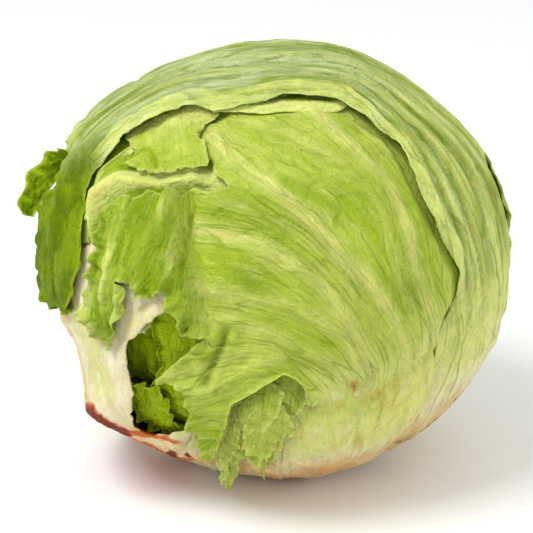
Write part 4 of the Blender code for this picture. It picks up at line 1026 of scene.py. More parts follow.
def front_leaf():
    """The bright leaf over the face: a fan of pale ribs, puckers between them, a torn left side."""
    sheet = Sheet(FACE, FRONT_EDGE + FRONT_HIDDEN, [rib[::-1] for rib in SIDE_FAN], 0.44,
                  tooth=0.35, tooth_length=2.6, seed=111, rounding=0.7)
    side_level, side_along = sheet.level, sheet.along
    sheet.fan([rib[::-1] for rib in FRONT_FAN])
    right, up = sheet.right, sheet.up
    wander = right + 0.13 * up + 2.2 * layered_noise(up / 7.0, up * 0.0, 48)
    side = smooth_step(-17.5, -26.0, wander) * smooth_step(-24.0, -16.0, up)
    sheet.level = sheet.level * (1.0 - side) + (side_level + 12.0) * side
    sheet.along = sheet.along * (1.0 - side) + side_along * side
    level, along = sheet.level, sheet.along
    depth, free = sheet.depth_under("front")
    low_right = smooth_step(43.0, 47.0, right) * smooth_step(-10.0, -20.0, up)
    depth = depth + 2.0 * (1.0 - free) * low_right

    ribs = np.zeros(len(right))
    bands = np.zeros(len(right))
    for gap, strength in zip(sheet.gaps, RIB_STRENGTH):
        ribs = np.maximum(ribs, strength * bell(gap, 2.0))
        bands = np.maximum(bands, strength * bell(gap, 3.8))
    ribs *= 1.0 - side
    bands *= 1.0 - side
    low_left = smooth_step(8.0, -12.0, right) * smooth_step(-2.0, -14.0, up)
    rough = 0.7 + 0.5 * sheet.streaks(6.0, 5.0, 49)
    relief = 0.9 * ribs * rough * (0.4 + 0.6 * smooth_step(-20.0, 20.0, right)) * free
    wrinkle = crease_lines(level * 3.6, along / 13.0, 50)
    relief -= 0.55 * wrinkle * free
    relief += 0.55 * sheet.streaks(2.4, 13.0, 51, 4) * free
    folds = layered_noise(side_level * 2.2, side_along / 26.0, 52)
    relief += side * (2.5 * side * folds + 1.0 * sheet.clouds(4.0, 4.0, 54))
    relief += 0.7 * sheet.clouds(14.0, 14.0, 53) * free
    relief += 0.55 * low_left * sheet.clouds(9.0, 1.7, 55)
    crease = sheet.gap_to(FRONT_CREASE)
    relief -= 0.5 * bell(crease, 0.7)
    dent = sheet.gap_to(FRONT_WRINKLE)
    relief += 1.0 * bell(dent - 3.0, 1.8) - 1.3 * bell(dent, 1.4)
    seam = smooth_step(-16.0, -26.0, up) * smooth_step(9.0, 16.0, right)
    seam *= smooth_step(44.0, 37.0, right)
    relief -= 1.6 * seam * np.exp(-sheet.inset / 5.0) * free
    relief += 1.8 * bell(sheet.gap_to(FRONT_RIDGE), 3.2)
    torn = smooth_step(-4.0, -16.0, right) * smooth_step(20.0, 10.0, up)
    lip = bell(sheet.gap_to(FRONT_LIP), 6.0)
    lifted = np.exp(-sheet.inset / 6.0) * (1.6 * torn + 2.2 * lip) * free
    points = on_head(sheet, depth, relief + lifted)
    points = sheet.ruffled(points, (0.9 + 0.3 * side) * torn * free, 4.5, 9.0, 57)
    points = sheet.rolled(points, 1.2 + 1.3 * lip, (25.0 + 60.0 * lip) * free * (1.0 - seam))

    broken = 0.6 + 0.5 * sheet.streaks(5.0, 9.0, 59)
    tint = mixed(FACE_GREEN, FACE_PALE, 0.5 + 0.5 * sheet.streaks(1.7, 25.0, 61) - 0.15)
    deep = np.zeros(len(right))
    for (x, y), width, height in FACE_PATCHES:
        deep = np.maximum(deep, np.exp(-((right - x) / width) ** 2 - ((up - y) / height) ** 2))
    # Here the tint follows the relief: darker along the wrinkles and the crease (painted shade),
    # darker in the side lobe's fold hollows (painted shade) and paler on their crests (painted
    # highlight), and paler along the lower ridge (painted highlight).
    tint = coated(tint,
                  (FACE_DEEP, 0.85 * deep + 0.25 * wrinkle),
                  (FACE_DEEP, side * (0.45 + 1.0 * smooth_step(0.1, -0.4, folds))),
                  (RIM_PALE, 0.7 * side ** 3 * smooth_step(0.15, 0.6, folds)),
                  (RIB_PALE, 0.5 * bands * broken + 0.08 * smooth_step(12.0, 34.0, up)),
                  (RIB_PALE, 0.75 * ribs * broken),
                  (RIB_YELLOW, 0.5 * ribs * smooth_step(0.2, 0.9, broken - 0.2)),
                  (FACE_PALE, 0.55 * low_left * bell(sheet.gap_to(FRONT_RIDGE), 9.0)),
                  (FACE_DEEP, 0.6 * bell(crease, 0.7)))
    # The wrinkle's dent is painted dark down in its groove: painted shade.
    rough = 0.6 + 0.6 * sheet.clouds(1.5, 1.5, 62)
    tint = mixed(tint, LOBE_DEEP, 0.85 * bell(dent, 1.2) * rough)
    edged = smooth_step(1.2, 0.2, sheet.inset) * free * (1.0 - seam)
    tint = mixed(tint, FACE_PALE, 0.7 * edged)
    low_side = side * smooth_step(-4.0, -12.0, up) * smooth_step(5.0, 1.5, sheet.inset)
    tint = mixed(tint, RIM_PALE, 0.7 * low_side * smooth_step(-44.0, -48.0, right))
    stemward = toward_stem(sheet, tint, (90.0, 62.0), (50.0, 34.0), 63)
    tint = coated(tint,
                  (stemward, smooth_step(0.0, 20.0, right)),
                  (RUST, 0.8 * bell(sheet.gap_to([(20, -32), (20.5, -34.5)]), 1.3)),
                  (RUST, 0.6 * bell(sheet.gap_to([(-19.3, 10.5), (-19.5, 9.5)]), 0.5)))
    marks = marks_of(sheet, (0.75 - 0.4 * ribs) * (1.0 - 0.5 * side),
                     0.6 + 0.3 * ribs + 0.2 * low_left - 0.3 * side, 0.4 + 0.3 * side)
    patches = [Patch(sheet, points, tint, marks)]
    return patches


# Bands along a path

class Strip:
    """A band along a path: rows of points across it, from one side to the other.

    point = path + side * t, where t runs from -1 to 1 across the band.
    """

    def __init__(self, path, side, columns):
        steps = len(path)
        across = np.linspace(-1.0, 1.0, columns)
        self.points = (path[:, None, :] + side[:, None, :] * across[None, :, None]).reshape(-1, 3)
        index = np.arange(steps * columns).reshape(steps, columns)
        self.quads = np.stack([index[:-1, :-1], index[:-1, 1:], index[1:, 1:], index[1:, :-1]],
                              axis=2).reshape(-1, 4)
        self.share = np.repeat(np.linspace(0.0, 1.0, steps), columns)
        self.across = np.tile(across, steps)
        run = np.concatenate([[0.0], np.cumsum(np.linalg.norm(np.diff(path, axis=0), axis=1))])
        self.along = np.repeat(run, columns)
        half = np.repeat(np.linalg.norm(side, axis=1), columns)
        self.level = self.across * half / RIB_GAP
        ends = np.minimum(self.along, run[-1] - self.along)
        self.inset = np.minimum((1.0 - np.abs(self.across)) * half, ends)
        ring = np.concatenate([index[:-1, 0], index[-1, :-1], index[:0:-1, -1], index[0, :0:-1]])
        self.rim = np.stack([np.roll(ring, -1), ring], axis=1)


def eased_path(knots, steps):
    """A smooth path through knots of the face's right, up and out millimetres, in the world."""
    line = even_line(knots, 0.5)
    share = np.linspace(0.0, len(line) - 1.0, steps)
    local = np.stack([np.interp(share, range(len(line)), line[:, axis]) for axis in range(3)],
                     axis=1)
    facing, right, up = FACE
    return HEAD_CENTRE + local[:, :1] * right + local[:, 1:2] * up + local[:, 2:] * facing


# Pieces of the shoulder, the fold and the tips

SHOULDER_FAN = [
    [(-12, 24), (-16, 34), (-18, 48)], [(-24, 21), (-26, 32), (-28, 50)],
    [(-37, 23), (-40, 32), (-44, 46)]]
SHOULDER_CREASE = [(-39, 25.5), (-33.5, 28), (-31, 26), (-29.5, 23)]
SHOULDER_HOLE = [(-17.5, 34), (-15.5, 35.5), (-14.5, 33), (-16.5, 31), (-19, 30), (-20, 32.5)]
FOLD_EDGE = [
    (-56, 6), (-51, 4), (-47, 8), (-42, 11.5), (-35, 13), (-26, 13), (-16, 12.5), (-9, 14),
    (-8, 24), (-14, 31), (-24, 36), (-36, 44), (-50, 40), (-57, 24)]
FOLD_FAN = [
    [(-8, 24), (-20, 26), (-32, 28), (-44, 26), (-52, 18)],
    [(-9, 17), (-20, 17.5), (-30, 17.5), (-39, 17), (-47, 12), (-54, 6)]]
FOLD_ROLL = [(-52, 7), (-49.5, 12.5), (-45.5, 17), (-39, 20), (-30, 20.8), (-20, 20.2), (-11, 18.2)]
STRIP_LINE = [(-38, 29.5), (-41, 27), (-45, 24), (-48.5, 20.5), (-50.3, 16.5), (-51.2, 10.5)]
TIPS_FAN = [
    [(8, -24), (7, -34), (2, -48), (-4, -66)], [(-2, -24), (-3, -36), (-5, -50), (-10, -66)],
    [(-12, -34), (-13, -46), (-15, -60), (-17, -74)]]
TIP_DROP = 6.5
TIP_ARC = (56.0, 80.0)
TIP_SHEETS = [
    [(-12, -35), (-4, -30), (2, -32), (1, -38), (-3, -43), (-9, -44), (-13, -41)],
    [(-17, -40), (-12, -38), (-9, -44), (-10, -52), (-13, -60), (-16, -68), (-17.5, -58),
     (-18.5, -50)],
    [(-6, -38), (2, -36), (5, -42), (1, -48), (-2, -54), (-6, -60), (-8, -52), (-8, -44)]]


def shoulder_leaf():
    """The pale torn piece under the crown's rim, creased; its small hole from wear is a dent in
    painted shade.
    """
    sheet = Sheet(FACE, SHOULDER, SHOULDER_FAN, 0.45, tooth=0.7, tooth_length=2.6, seed=121)
    depth, free = sheet.depth_under("shoulder")
    up = sheet.up
    relief = 0.9 * sheet.clouds(7.0, 5.0, 67) * free
    relief += 0.5 * sheet.clouds(3.2, 4.0, 68)
    crease = sheet.gap_to(SHOULDER_CREASE)
    relief += (0.9 * bell(crease - 1.6, 1.6) - 0.8 * bell(crease, 0.9)) * free
    hole = inside_outline(sheet.pattern, np.array(SHOULDER_HOLE, float))
    # The hole is a dent, painted dark in the tint below: painted shade.
    hole_dent = np.where(hole, smooth_step(0.0, 0.7, sheet.gap_to(SHOULDER_HOLE + SHOULDER_HOLE[:1])), 0)
    relief -= 1.3 * hole_dent
    points = sheet.ruffled(on_head(sheet, depth, relief), 0.5 * free, 3.0, 8.0, 69)
    points = sheet.rolled(points, 1.2, 25.0 * free)
    # Greener and darker along the crease's groove: painted shade.
    tint = coated(FACE_GREEN,
                  (FACE_PALE, 0.6 + 0.6 * sheet.clouds(4.0, 5.0, 71)),
                  (RIB_PALE, 0.6 * smooth_step(1.6, 0.3, sheet.inset)),
                  (FACE_GREEN, 0.7 * bell(crease, 1.4) + 0.5 * smooth_step(31.0, 23.0, up)),
                  (RIB_PALE, 0.6 * smooth_step(33.0, 37.0, up)),
                  (INNER_DEEP, 0.95 * hole_dent))
    patch = Patch(sheet, points, tint, marks_of(sheet, 0.35, 0.25, 0.6))
    return [patch]


def fold_leaf():
    """The pale band under the torn piece: a roll, ruffles below and a twisted strip at left."""
    sheet = Sheet(FACE, FOLD_EDGE, FOLD_FAN, 0.4, tooth=0.9, tooth_length=2.4, seed=131,
                  rounding=0.4)
    depth, free = sheet.depth_under("fold")
    right, up = sheet.right, sheet.up
    roll = sheet.gap_to(FOLD_ROLL)
    relief = 1.8 * np.sqrt(np.clip(1.0 - (roll / 3.2) ** 2, 0.0, 1.0)) * free + 1.0 * free
    relief += 0.5 * sheet.clouds(4.0, 3.0, 73) * free
    frilled = bell(roll - 3.6, 1.8) * smooth_step(21.0, 18.0, up) * free
    relief += frilled * (1.0 + 1.1 * sheet.clouds(1.7, 5.0, 79))
    points = sheet.ruffled(on_head(sheet, depth, relief), 0.8 * free, 2.6, 4.6, 75)
    tint = mixed(FACE_DEEP, FACE_GREEN, 0.5 + 0.6 * sheet.clouds(4.0, 3.0, 77))
    low_end = smooth_step(-49.0, -56.0, right) * smooth_step(28.0, 20.0, up)
    # The ruffles are paler where they rise higher, by the same noise that lifts them: painted
    # highlight.
    tint = coated(tint,
                  (RIM_PALE, (1.0 - 0.65 * low_end) * smooth_step(4.6, 3.0, roll)),
                  (CREAM_GREEN, 0.4 * bell(roll - 0.6, 1.4)),
                  (BLUSH, 0.3 * bell(roll, 1.6) * bell(right + 45.0, 3.0)),
                  (FACE_PALE, 0.9 * frilled * (0.6 + 0.8 * value_noise(right / 1.7, up / 5.0, 79))))
    patches = [Patch(sheet, points, tint, marks_of(sheet, 0.2, 0.3, 0.5))]
    line = onto_head(FACE, even_line(STRIP_LINE, 0.6))
    path = HEAD_CENTRE + line * (head_radius(line, 0.6))[:, None]
    ahead = np.gradient(path, axis=0)
    ahead /= np.linalg.norm(ahead, axis=1)[:, None]
    out = np.cross(ahead, line)
    share = np.linspace(0.0, 1.0, len(path))
    twist = np.radians(20.0 + 60.0 * np.sin(2.0 * math.pi * share))
    half = 2.1 * np.sqrt(np.sin(math.pi * np.linspace(0.08, 0.95, len(path))))
    side = (out * np.cos(twist)[:, None] + line * np.sin(twist)[:, None]) * half[:, None]
    strip = Strip(path, side, 9)
    tint = mixed(RIM_PALE, FACE_GREEN, 0.6 * smooth_step(0.0, 1.0, strip.across))
    patches.append(Patch(strip, strip.points, tint, marks_of(strip, 0.2, 0.6, 0.3)))
    return patches


def tips_leaf():
    """The crumpled margin below the lip: a hanging sheet with smaller crumpled ones over it."""
    patches = []
    lift_over = (0.0, 3.2, 1.6, 2.8)
    outlines = [TIPS] + TIP_SHEETS
    for number, (outline, over) in enumerate(zip(outlines, lift_over)):
        sheet = Sheet(FACE, outline, TIPS_FAN, 0.36, tooth=1.1, tooth_length=3.0,
                      seed=141 + number, rounding=0.1)
        depth, free = sheet.depth_under("tips")
        right, up = sheet.right, sheet.up
        relief = 2.0 * sheet.clouds(4.2, 7.0, 81 + number, 4) * (0.4 + 0.6 * free)
        relief += over * free + 0.6 * np.abs(sheet.streaks(5.0, 9.0, 85 + number))
        relief += TIP_DROP * smooth_step(*TIP_ARC, np.hypot(right, up))
        points = sheet.ruffled(on_head(sheet, depth, relief), 1.1 * free, 2.2, 5.5, 87 + number)
        # Dark and pale patches named for the crumples, not tied to the relief: painted shade and
        # painted highlight.
        crumple_shading = sheet.clouds(2.6, 5.0, 91 + number)
        tint = coated(FACE_GREEN,
                      (FACE_DEEP, smooth_step(-0.2, -0.8, crumple_shading)),
                      (FACE_PALE, 0.3 + 0.6 * smooth_step(-0.4, 0.3, crumple_shading)),
                      (RIM_PALE, 0.65 * smooth_step(2.0, 0.3, sheet.inset)))
        browned = smooth_step(0.0, 0.5, value_noise(sheet.round / 6.0, sheet.round * 0.0, 95))
        tint = mixed(tint, RUST, 0.7 * bell(sheet.inset, 0.3) * free * browned)
        patches.append(Patch(sheet, points, tint, marks_of(sheet, 0.4, 0.5, 0.7)))
    return patches


# Lower leaf and the left leaf base

LOWER_FAN = [
    [(44, -80), (54, -50), (50, -16)], [(26, -86), (36, -64), (38, -46), (36, -24)],
    [(14, -88), (18, -68), (17, -50), (14, -28)], [(2, -90), (1, -70), (-2, -52), (-6, -34)],
    [(-12, -88), (-18, -66), (-20, -50)]]
BASE_LEFT_FAN = [
    [(-16, -88), (-28, -66), (-32, -50), (-30, -10)],
    [(-40, -86), (-48, -62), (-48, -40), (-45, -12)],
    [(-60, -84), (-70, -58), (-70, -36), (-66, -12)],
    [(-76, -80), (-94, -52), (-96, -30), (-90, -12)]]
CORNER_LINE = [(-62.4, -50.6), (-59.6, -53.2), (-55.2, -55.8), (-50.7, -57.6)]
CUT_TOP = [(-58.5, -53.4), (-48.8, -57.4), (-42.0, -58.8), (-35.1, -59.6), (-30.3, -60.8)]
CUT_FOOT = [(-52.7, -58.6), (-45.3, -62.1), (-35.1, -66.8), (-29.8, -68.1), (-25.4, -67.3)]
CUT_STRIP = [(-50.8, -59.0), (-39.0, -62.4), (-25.4, -65.9)]
CUT_SPOTS = ((-34.4, -65.4), (-28.4, -65.9))
PINK_LINE = [(-71.6, -17.5), (-68.6, -29.3), (-65.6, -41.0), (-63.8, -48.8)]
TORN_PATCH = [
    (-41.5, -21), (-40.5, -18.5), (-38, -14), (-36.5, -11.5), (-31, -10), (-27.5, -10.5),
    (-26, -12), (-30, -14.5), (-32.5, -16), (-34, -18.5), (-36, -20.5), (-39.5, -20.5)]


def face_place(points):
    """Millimetres to the right and up of the head's centre, on the plane square to the face."""
    _, right, up = FACE
    away = points - HEAD_CENTRE
    return away @ right, away @ up


def plane_gap(across, rise, line):
    """Millimetres to a line drawn on the face's plane."""
    place = np.stack([across, rise], axis=1)
    nearest = np.full(len(place), np.inf)
    for start, end in zip(np.array(line[:-1]), np.array(line[1:])):
        run = end - start
        share = np.clip(((place - start) @ run) / (run @ run), 0.0, 1.0)
        gap = np.linalg.norm(place - start - share[:, None] * run, axis=1)
        nearest = np.minimum(nearest, gap)
    return nearest


def lower_leaf():
    """The pale leaf below the front leaf, with faint green and rust veins and a blushed edge."""
    sheet = Sheet(FACE, LOWER_OUTLINE, LOWER_FAN, 0.7, tooth=0.5, seed=151)
    depth, free = sheet.depth_under("lower")
    relief = 0.6 * sheet.streaks(3.0, 22.0, 93) * free
    relief += 0.5 * bell(sheet.rib, 2.6) * free
    points = on_head(sheet, depth, relief)
    tint = mixed(CREAM_GREEN, FACE_PALE, 0.5 + 0.5 * sheet.streaks(2.0, 16.0, 95))
    tint = toward_stem(sheet, tint, (76.0, 40.0), (50.0, 37.0), 97, 0.9)
    vein = crease_lines(sheet.level * 6.0, sheet.along / 30.0, 99, 0.07)
    tint = coated(tint,
                  (FACE_DEEP, 0.3 * vein * free),
                  (RUST, 0.2 * vein * free))
    patch = Patch(sheet, points, tint, marks_of(sheet, 0.9, 0.6, 0.4))
    return [patch]


def base_left_leaf():
    """The thick leaf base at the lower left, cut flat below its corner, with a rust line."""
    sheet = Sheet(FACE, BASE_LEFT_OUTLINE, BASE_LEFT_FAN, 0.6, tooth=0.9, tooth_length=4.5,
                  seed=161)
    depth, free = sheet.depth_under("base_left")
    facing, right, up = FACE
    relief = 1.0 * sheet.streaks(2.6, 24.0, 101, 4) * free
    lumps = sheet.clouds(6.0, 9.0, 104)
    relief += 0.9 * lumps * free * smooth_step(-66.0, -56.0, sheet.right)
    depth = depth + side_bump(sheet.way, HOLLOW)
    radius = head_radius(sheet.way, depth) + relief + side_bump(sheet.way, CORNER)
    across, rise = CUT_HEADING
    toward_cut = sheet.way @ (across * right + rise * up)
    reach = CUT_DISTANCE / np.maximum(toward_cut, 0.05)
    cut = smooth_step(-0.6, 0.6, radius - reach)
    radius = np.minimum(radius, reach + 0.15 * layered_noise(sheet.right, sheet.up / 2.0, 103))
    points = HEAD_CENTRE + sheet.way * radius[:, None]
    # The base is whiter on top of its raised lumps: partly its own white, partly painted highlight.
    tint = coated(CREAM,
                  (CREAM_GREEN, 0.3 + 0.6 * sheet.streaks(2.4, 26.0, 105)),
                  (FACE_PALE, 0.6 * bell(sheet.right + 50.0, 6.0) * bell(sheet.up + 24.0, 14.0)),
                  (WHITE_BASE, 0.6 * smooth_step(-0.1, 0.5, lumps)))
    fibre = sheet.clouds(1.2, 5.0, 107)
    cut_tint = mixed(CREAM, BLUSH, 0.35 + 0.5 * fibre)
    tint = mixed(tint, cut_tint, cut)
    across, rise = face_place(points)
    strip = smooth_step(5.5, 3.0, plane_gap(across, rise, CUT_STRIP))
    tint = mixed(tint, cut_tint, 0.85 * strip)
    ragged = layered_noise(across / 3.0, rise / 1.6, 109, 4)
    corner = plane_gap(across, rise, CORNER_LINE)
    line = np.minimum(plane_gap(across, rise, CUT_TOP) + 0.3,
                      plane_gap(across, rise, CUT_FOOT) + 0.5)
    spot = np.minimum(*[np.hypot(across - x, rise - y) for x, y in CUT_SPOTS])
    pink = bell(plane_gap(across, rise, PINK_LINE), 1.6)
    seen = smooth_step(-34.0, -8.0, (points - HEAD_CENTRE) @ facing + 4.0 * ragged)
    tint = mixed(tint, RUST, 0.5 * pink * seen * (0.6 + 0.6 * ragged))
    orange = smooth_step(1.7, 0.9, np.minimum(corner - 1.3, line) - 1.2 * ragged)
    tint = mixed(tint, RUST, 0.95 * orange * seen)
    dark = smooth_step(1.5, 0.7, np.minimum(corner - 1.0, spot - 0.8) - 1.5 * ragged)
    low_half = smooth_step(-46.0, -51.0, rise)
    tint = mixed(tint, RUST_DARK, 0.95 * dark * low_half * seen)
    marks = marks_of(sheet, 0.15, 0.5 * (1.0 - np.maximum(strip, orange)), 0.2)
    patches = [Patch(sheet, points, tint, marks, BASE_THICKNESS)]
    torn = Sheet(FACE, TORN_PATCH, [[(-40, -20), (-34, -15), (-28, -11)]], 0.35, tooth=0.6,
                 tooth_length=2.0, seed=163)
    over = side_bump(torn.way, HOLLOW)
    points = on_head(torn, 5.0 + over, 0.9 * torn.clouds(3.0, 3.0, 113))
    points = torn.ruffled(points, 0.7, 2.0, 5.0, 115)
    tint = mixed(CREAM, FACE_PALE, 0.5 + 0.6 * torn.clouds(3.0, 3.0, 117))
    spot = bell(torn.right + 34.6, 1.6) * bell(torn.up + 16.0, 1.2)
    tint = mixed(tint, RUST, 0.8 * spot)
    patches.append(Patch(torn, points, tint, marks_of(torn, 0.3, 0.3, 0.4)))
    return patches


# Leaves round the back and the side

CURL_LEFT_FAN = [
    [(14, -60), (30, -34), (44, -4), (46, 22)], [(0, -66), (8, -30), (20, 5), (26, 40)],
    [(-6, -64), (-12, -30), (-14, 8), (-8, 50)], [(-16, -62), (-32, -34), (-44, -8), (-44, 20)]]
BACK_FAN = [
    [(10, -62), (34, -36), (50, -4), (50, 30)], [(4, -64), (16, -30), (26, 8), (28, 46)],
    [(-4, -64), (-8, -30), (-12, 10), (-10, 54)], [(-12, -62), (-32, -34), (-48, -4), (-52, 20)]]
EDGE_RIGHT_FAN = [
    [(14, -62), (34, -40), (44, -10), (42, 22)], [(4, -64), (14, -34), (20, 0), (18, 34)],
    [(-6, -64), (-12, -36), (-14, -6), (-10, 30)], [(-16, -62), (-34, -38), (-38, -8), (-34, 22)]]
FRILL_STEPS = 120
FRILL_COLUMNS = 25
FRILL_WAVES = 4.5
CURL_KNOTS = [(-65.5, 34.5, 14.0), (-69.0, 35.6, 6.0), (-72.8, 35.2, -3.0), (-77.0, 32.4, -7.0),
              (-81.0, 28.2, -7.0), (-84.2, 21.6, -5.5), (-86.0, 15.0, -5.5)]


def wrapper(name, axes, outline, ribs, seed, sunk=False, step=0.9, green=CROWN_GREEN,
            settled=(22.0, 45.0)):
    """A wrapper leaf as one patch: ribs from the stem, pleats between them, a pale bloom.

    settled is the degrees from the stem where the leaf lies flat and where it is at its freest.
    """
    sheet = Sheet(axes, outline, ribs, step, tooth=0.4, seed=seed)
    depth, free = sheet.depth_under(name)
    if sunk:
        depth = depth + side_bump(sheet.way, HOLLOW)
    free = free * smooth_step(*settled, base_angle(sheet))
    relief = 0.9 * bell(sheet.rib, 3.0) * free
    relief += 0.6 * sheet.streaks(3.0, 28.0, seed + 1) * free
    relief += 0.7 * sheet.clouds(15.0, 15.0, seed + 3) * free
    points = sheet.ruffled(on_head(sheet, depth, relief), 0.5 * free, 4.0, 16.0, seed + 4)
    points = sheet.rolled(points, 1.6, 25.0 * free)
    streak = sheet.streaks(4.0, 36.0, seed + 5)
    tint = coated(green,
                  (CROWN_BLOOM, 0.6 * smooth_step(-0.2, 0.6, streak)),
                  (CROWN_DEEP, 0.5 * smooth_step(0.0, -0.7, streak)),
                  (RIB_PALE, 0.5 * bell(sheet.rib, 1.8)),
                  (FACE_PALE, 0.6 * smooth_step(2.0, 0.4, sheet.inset) * free))
    tint = toward_stem(sheet, tint, (90.0, 60.0), (56.0, 36.0), seed + 6)
    return Patch(sheet, points, tint, marks_of(sheet, 0.5, 0.9, 0.5))


def curl_left_leaf():
    """The dark wrapper at the far left, and the ruffled frill of its margin that stands off."""
    patch = wrapper("curl_left", BACK_LEFT_AXES, CURL_LEFT_OUTLINE, CURL_LEFT_FAN, 171, True,
                    green=LOBE_GREEN)
    path = eased_path(CURL_KNOTS, FRILL_STEPS)
    facing, right, up = FACE
    away = path - HEAD_CENTRE
    flat = (away @ right)[:, None] * right + (away @ up)[:, None] * up
    flat /= np.linalg.norm(flat, axis=1)[:, None]
    half = 5.2 * np.sqrt(np.sin(math.pi * np.linspace(0.10, 0.93, FRILL_STEPS)))
    strip = Strip(path, flat * half[:, None], FRILL_COLUMNS)
    wave = np.sin(2.0 * math.pi * (FRILL_WAVES * strip.share + 0.08 * strip.across)
                  + 2.0 * value_noise(strip.share * 5.0, strip.share * 0.0, 173))
    outer = smooth_step(-0.4, 1.0, strip.across)
    lift = (1.9 * outer + 0.5) * wave - 3.2 * strip.across ** 2 * (1.0 - strip.share)
    lift += 0.6 * layered_noise(strip.share * 22.0, strip.across * 2.0, 175)
    scallop = 0.9 * outer * np.sin(2.0 * math.pi * FRILL_WAVES * strip.share + 1.3)
    side = np.repeat(flat, FRILL_COLUMNS, axis=0)
    points = strip.points + facing * lift[:, None] + side * scallop[:, None]
    shade = layered_noise(strip.share * 26.0, strip.across * 2.5, 177)
    tint = coated(FRILL_GREEN,
                  (INNER_DEEP, smooth_step(0.1, -0.6, shade)),
                  (FRILL_EDGE, 0.7 * smooth_step(0.2, 0.8, shade)),
                  (FRILL_EDGE, 0.9 * smooth_step(0.6, 1.0, np.abs(strip.across))))
    frill = Patch(strip, points, tint, marks_of(strip, 0.4, 0.5, 0.8))
    return [patch, frill]


def back_leaf():
    """The wrapper straight behind."""
    return [wrapper("back", BACK_AXES, BACK_OUTLINE, BACK_FAN, 181, True)]


def edge_right_leaf():
    """The wrapper round the right side, outside all the others."""
    return [wrapper("edge_right", BACK_RIGHT_AXES, EDGE_RIGHT_OUTLINE, EDGE_RIGHT_FAN, 191,
                    settled=(60.0, 95.0))]


# Inner leaves, heart and stem

INNER_LEFT = [
    (-46, -14), (-38, -12), (-34, -17), (-34.5, -24), (-34, -28), (-33, -33), (-35, -37),
    (-37, -41), (-36, -46), (-34, -52), (-36, -58), (-44, -54), (-47, -44), (-48, -30)]
INNER_RIGHT = [
    (-33.5, -16), (-32, -8), (-20, -6), (-12, -14), (-10, -26), (-14, -34), (-22, -32),
    (-26, -34), (-27, -40), (-25.5, -46), (-27, -50), (-25, -55), (-28, -60), (-33, -57),
    (-37, -60), (-40, -56), (-38, -51), (-39, -47), (-38, -41), (-35.5, -36), (-32.5, -31),
    (-33, -24)]
INNER_FAN = [
    [(-20, -56), (-16, -36), (-14, -12)], [(-28, -56), (-27, -36), (-26, -10)],
    [(-40, -50), (-38, -34), (-38, -12)]]
INNER_FLAP = [
    (-44, -38), (-38, -37), (-33, -39), (-31.5, -44), (-32, -49), (-29.5, -53), (-29.5, -58),
    (-36, -60), (-43, -57), (-47, -50), (-47, -43)]


def inner_patch(outline, level, tint_low, tint_high, seed):
    """A patch of a leaf in the opening at the lower left, ruffled and curled along its edge."""
    sheet = Sheet(FACE, outline, INNER_FAN, 0.36, tooth=0.5, tooth_length=2.6, seed=seed)
    fold = sheet.streaks(3.4, 16.0, seed + 1)
    relief = 1.1 * fold + 0.8 * sheet.clouds(5.0, 8.0, seed + 2)
    points = sheet.ruffled(on_head(sheet, level, relief), 1.3, 3.0, 8.0, seed + 3)
    points = sheet.rolled(points, 1.8, 90.0)
    # Lighter on the raised folds and darker in their hollows, by the same streaks that lift them:
    # painted highlight and painted shade.
    tint = coated(tint_low,
                  (tint_high, 0.5 + 0.8 * fold),
                  (FRILL_EDGE, 0.7 * smooth_step(1.3, 0.2, sheet.inset)))
    return Patch(sheet, points, tint, marks_of(sheet, 0.5, 0.6, 0.8))


def inner_leaf_left():
    """The dark leaf deepest in the opening."""
    return [inner_patch(INNER_LEFT, 9.5, INNER_DEEP, INNER_GREEN, 221)]


def inner_leaf_right():
    """The brighter leaf over it, with a curled flap that stands up to the opening's lower edge."""
    return [inner_patch(INNER_RIGHT, 6.6, INNER_GREEN, FACE_GREEN, 211),
            inner_patch(INNER_FLAP, 4.0, INNER_GREEN, FACE_GREEN, 231)]


def ring_faces(rows, sides, upwards):
    """The faces of rings of points from one pole to the other, with the two poles last.

    Where the rings go upwards the corners are taken the other way round, so that faces look out.
    """
    index = np.arange(rows * sides).reshape(rows, sides)
    after = np.roll(index, -1, axis=1)
    first = np.full(sides, rows * sides)
    faces = []
    for corners in ((index[:-1], index[1:], after[1:], after[:-1]), (first, index[0], after[0]),
                    (first + 1, after[-1], index[-1])):
        face = np.stack(corners, axis=-1).reshape(-1, len(corners))
        if upwards:
            face = np.hstack([face[:, :1], face[:, :0:-1]])
        faces += face.tolist()
    return faces


HEART_RINGS = 96
HEART_SIDES = 180
HEART_DEPTH = 14.5
HEART_LAPS = 5.0
HEART_LAP_STEP = 1.6
HEART_HOLLOW = (-27.0, 14.0, -38.0, 16.0, 5.0)
HEART_BASE_RISE = 4.0
STEM_HEIGHT = 19.0
PIECE_GAP = 0.3
STEM_SIDES = 72
STEM_PROFILE = ((2.0, 0.0), (4.0, 0.0), (6.5, 0.0), (9.0, 0.0), (15.2, 0.0), (16.0, 0.8),
                (15.6, 3.5), (15.0, 7.0), (13.6, 11.0), (12.5, 14.0), (11.5, STEM_HEIGHT),
                (7.0, STEM_HEIGHT))


def turned(points, faces, tint, marks, flow):
    """What a round piece needs to be finished as a leaf is, with the same marks all over."""
    return SimpleNamespace(points=points, faces=faces, tint=tint, flow=flow / FLOW_UNIT,
                           marks=np.tile(marks, (len(points), 1)))


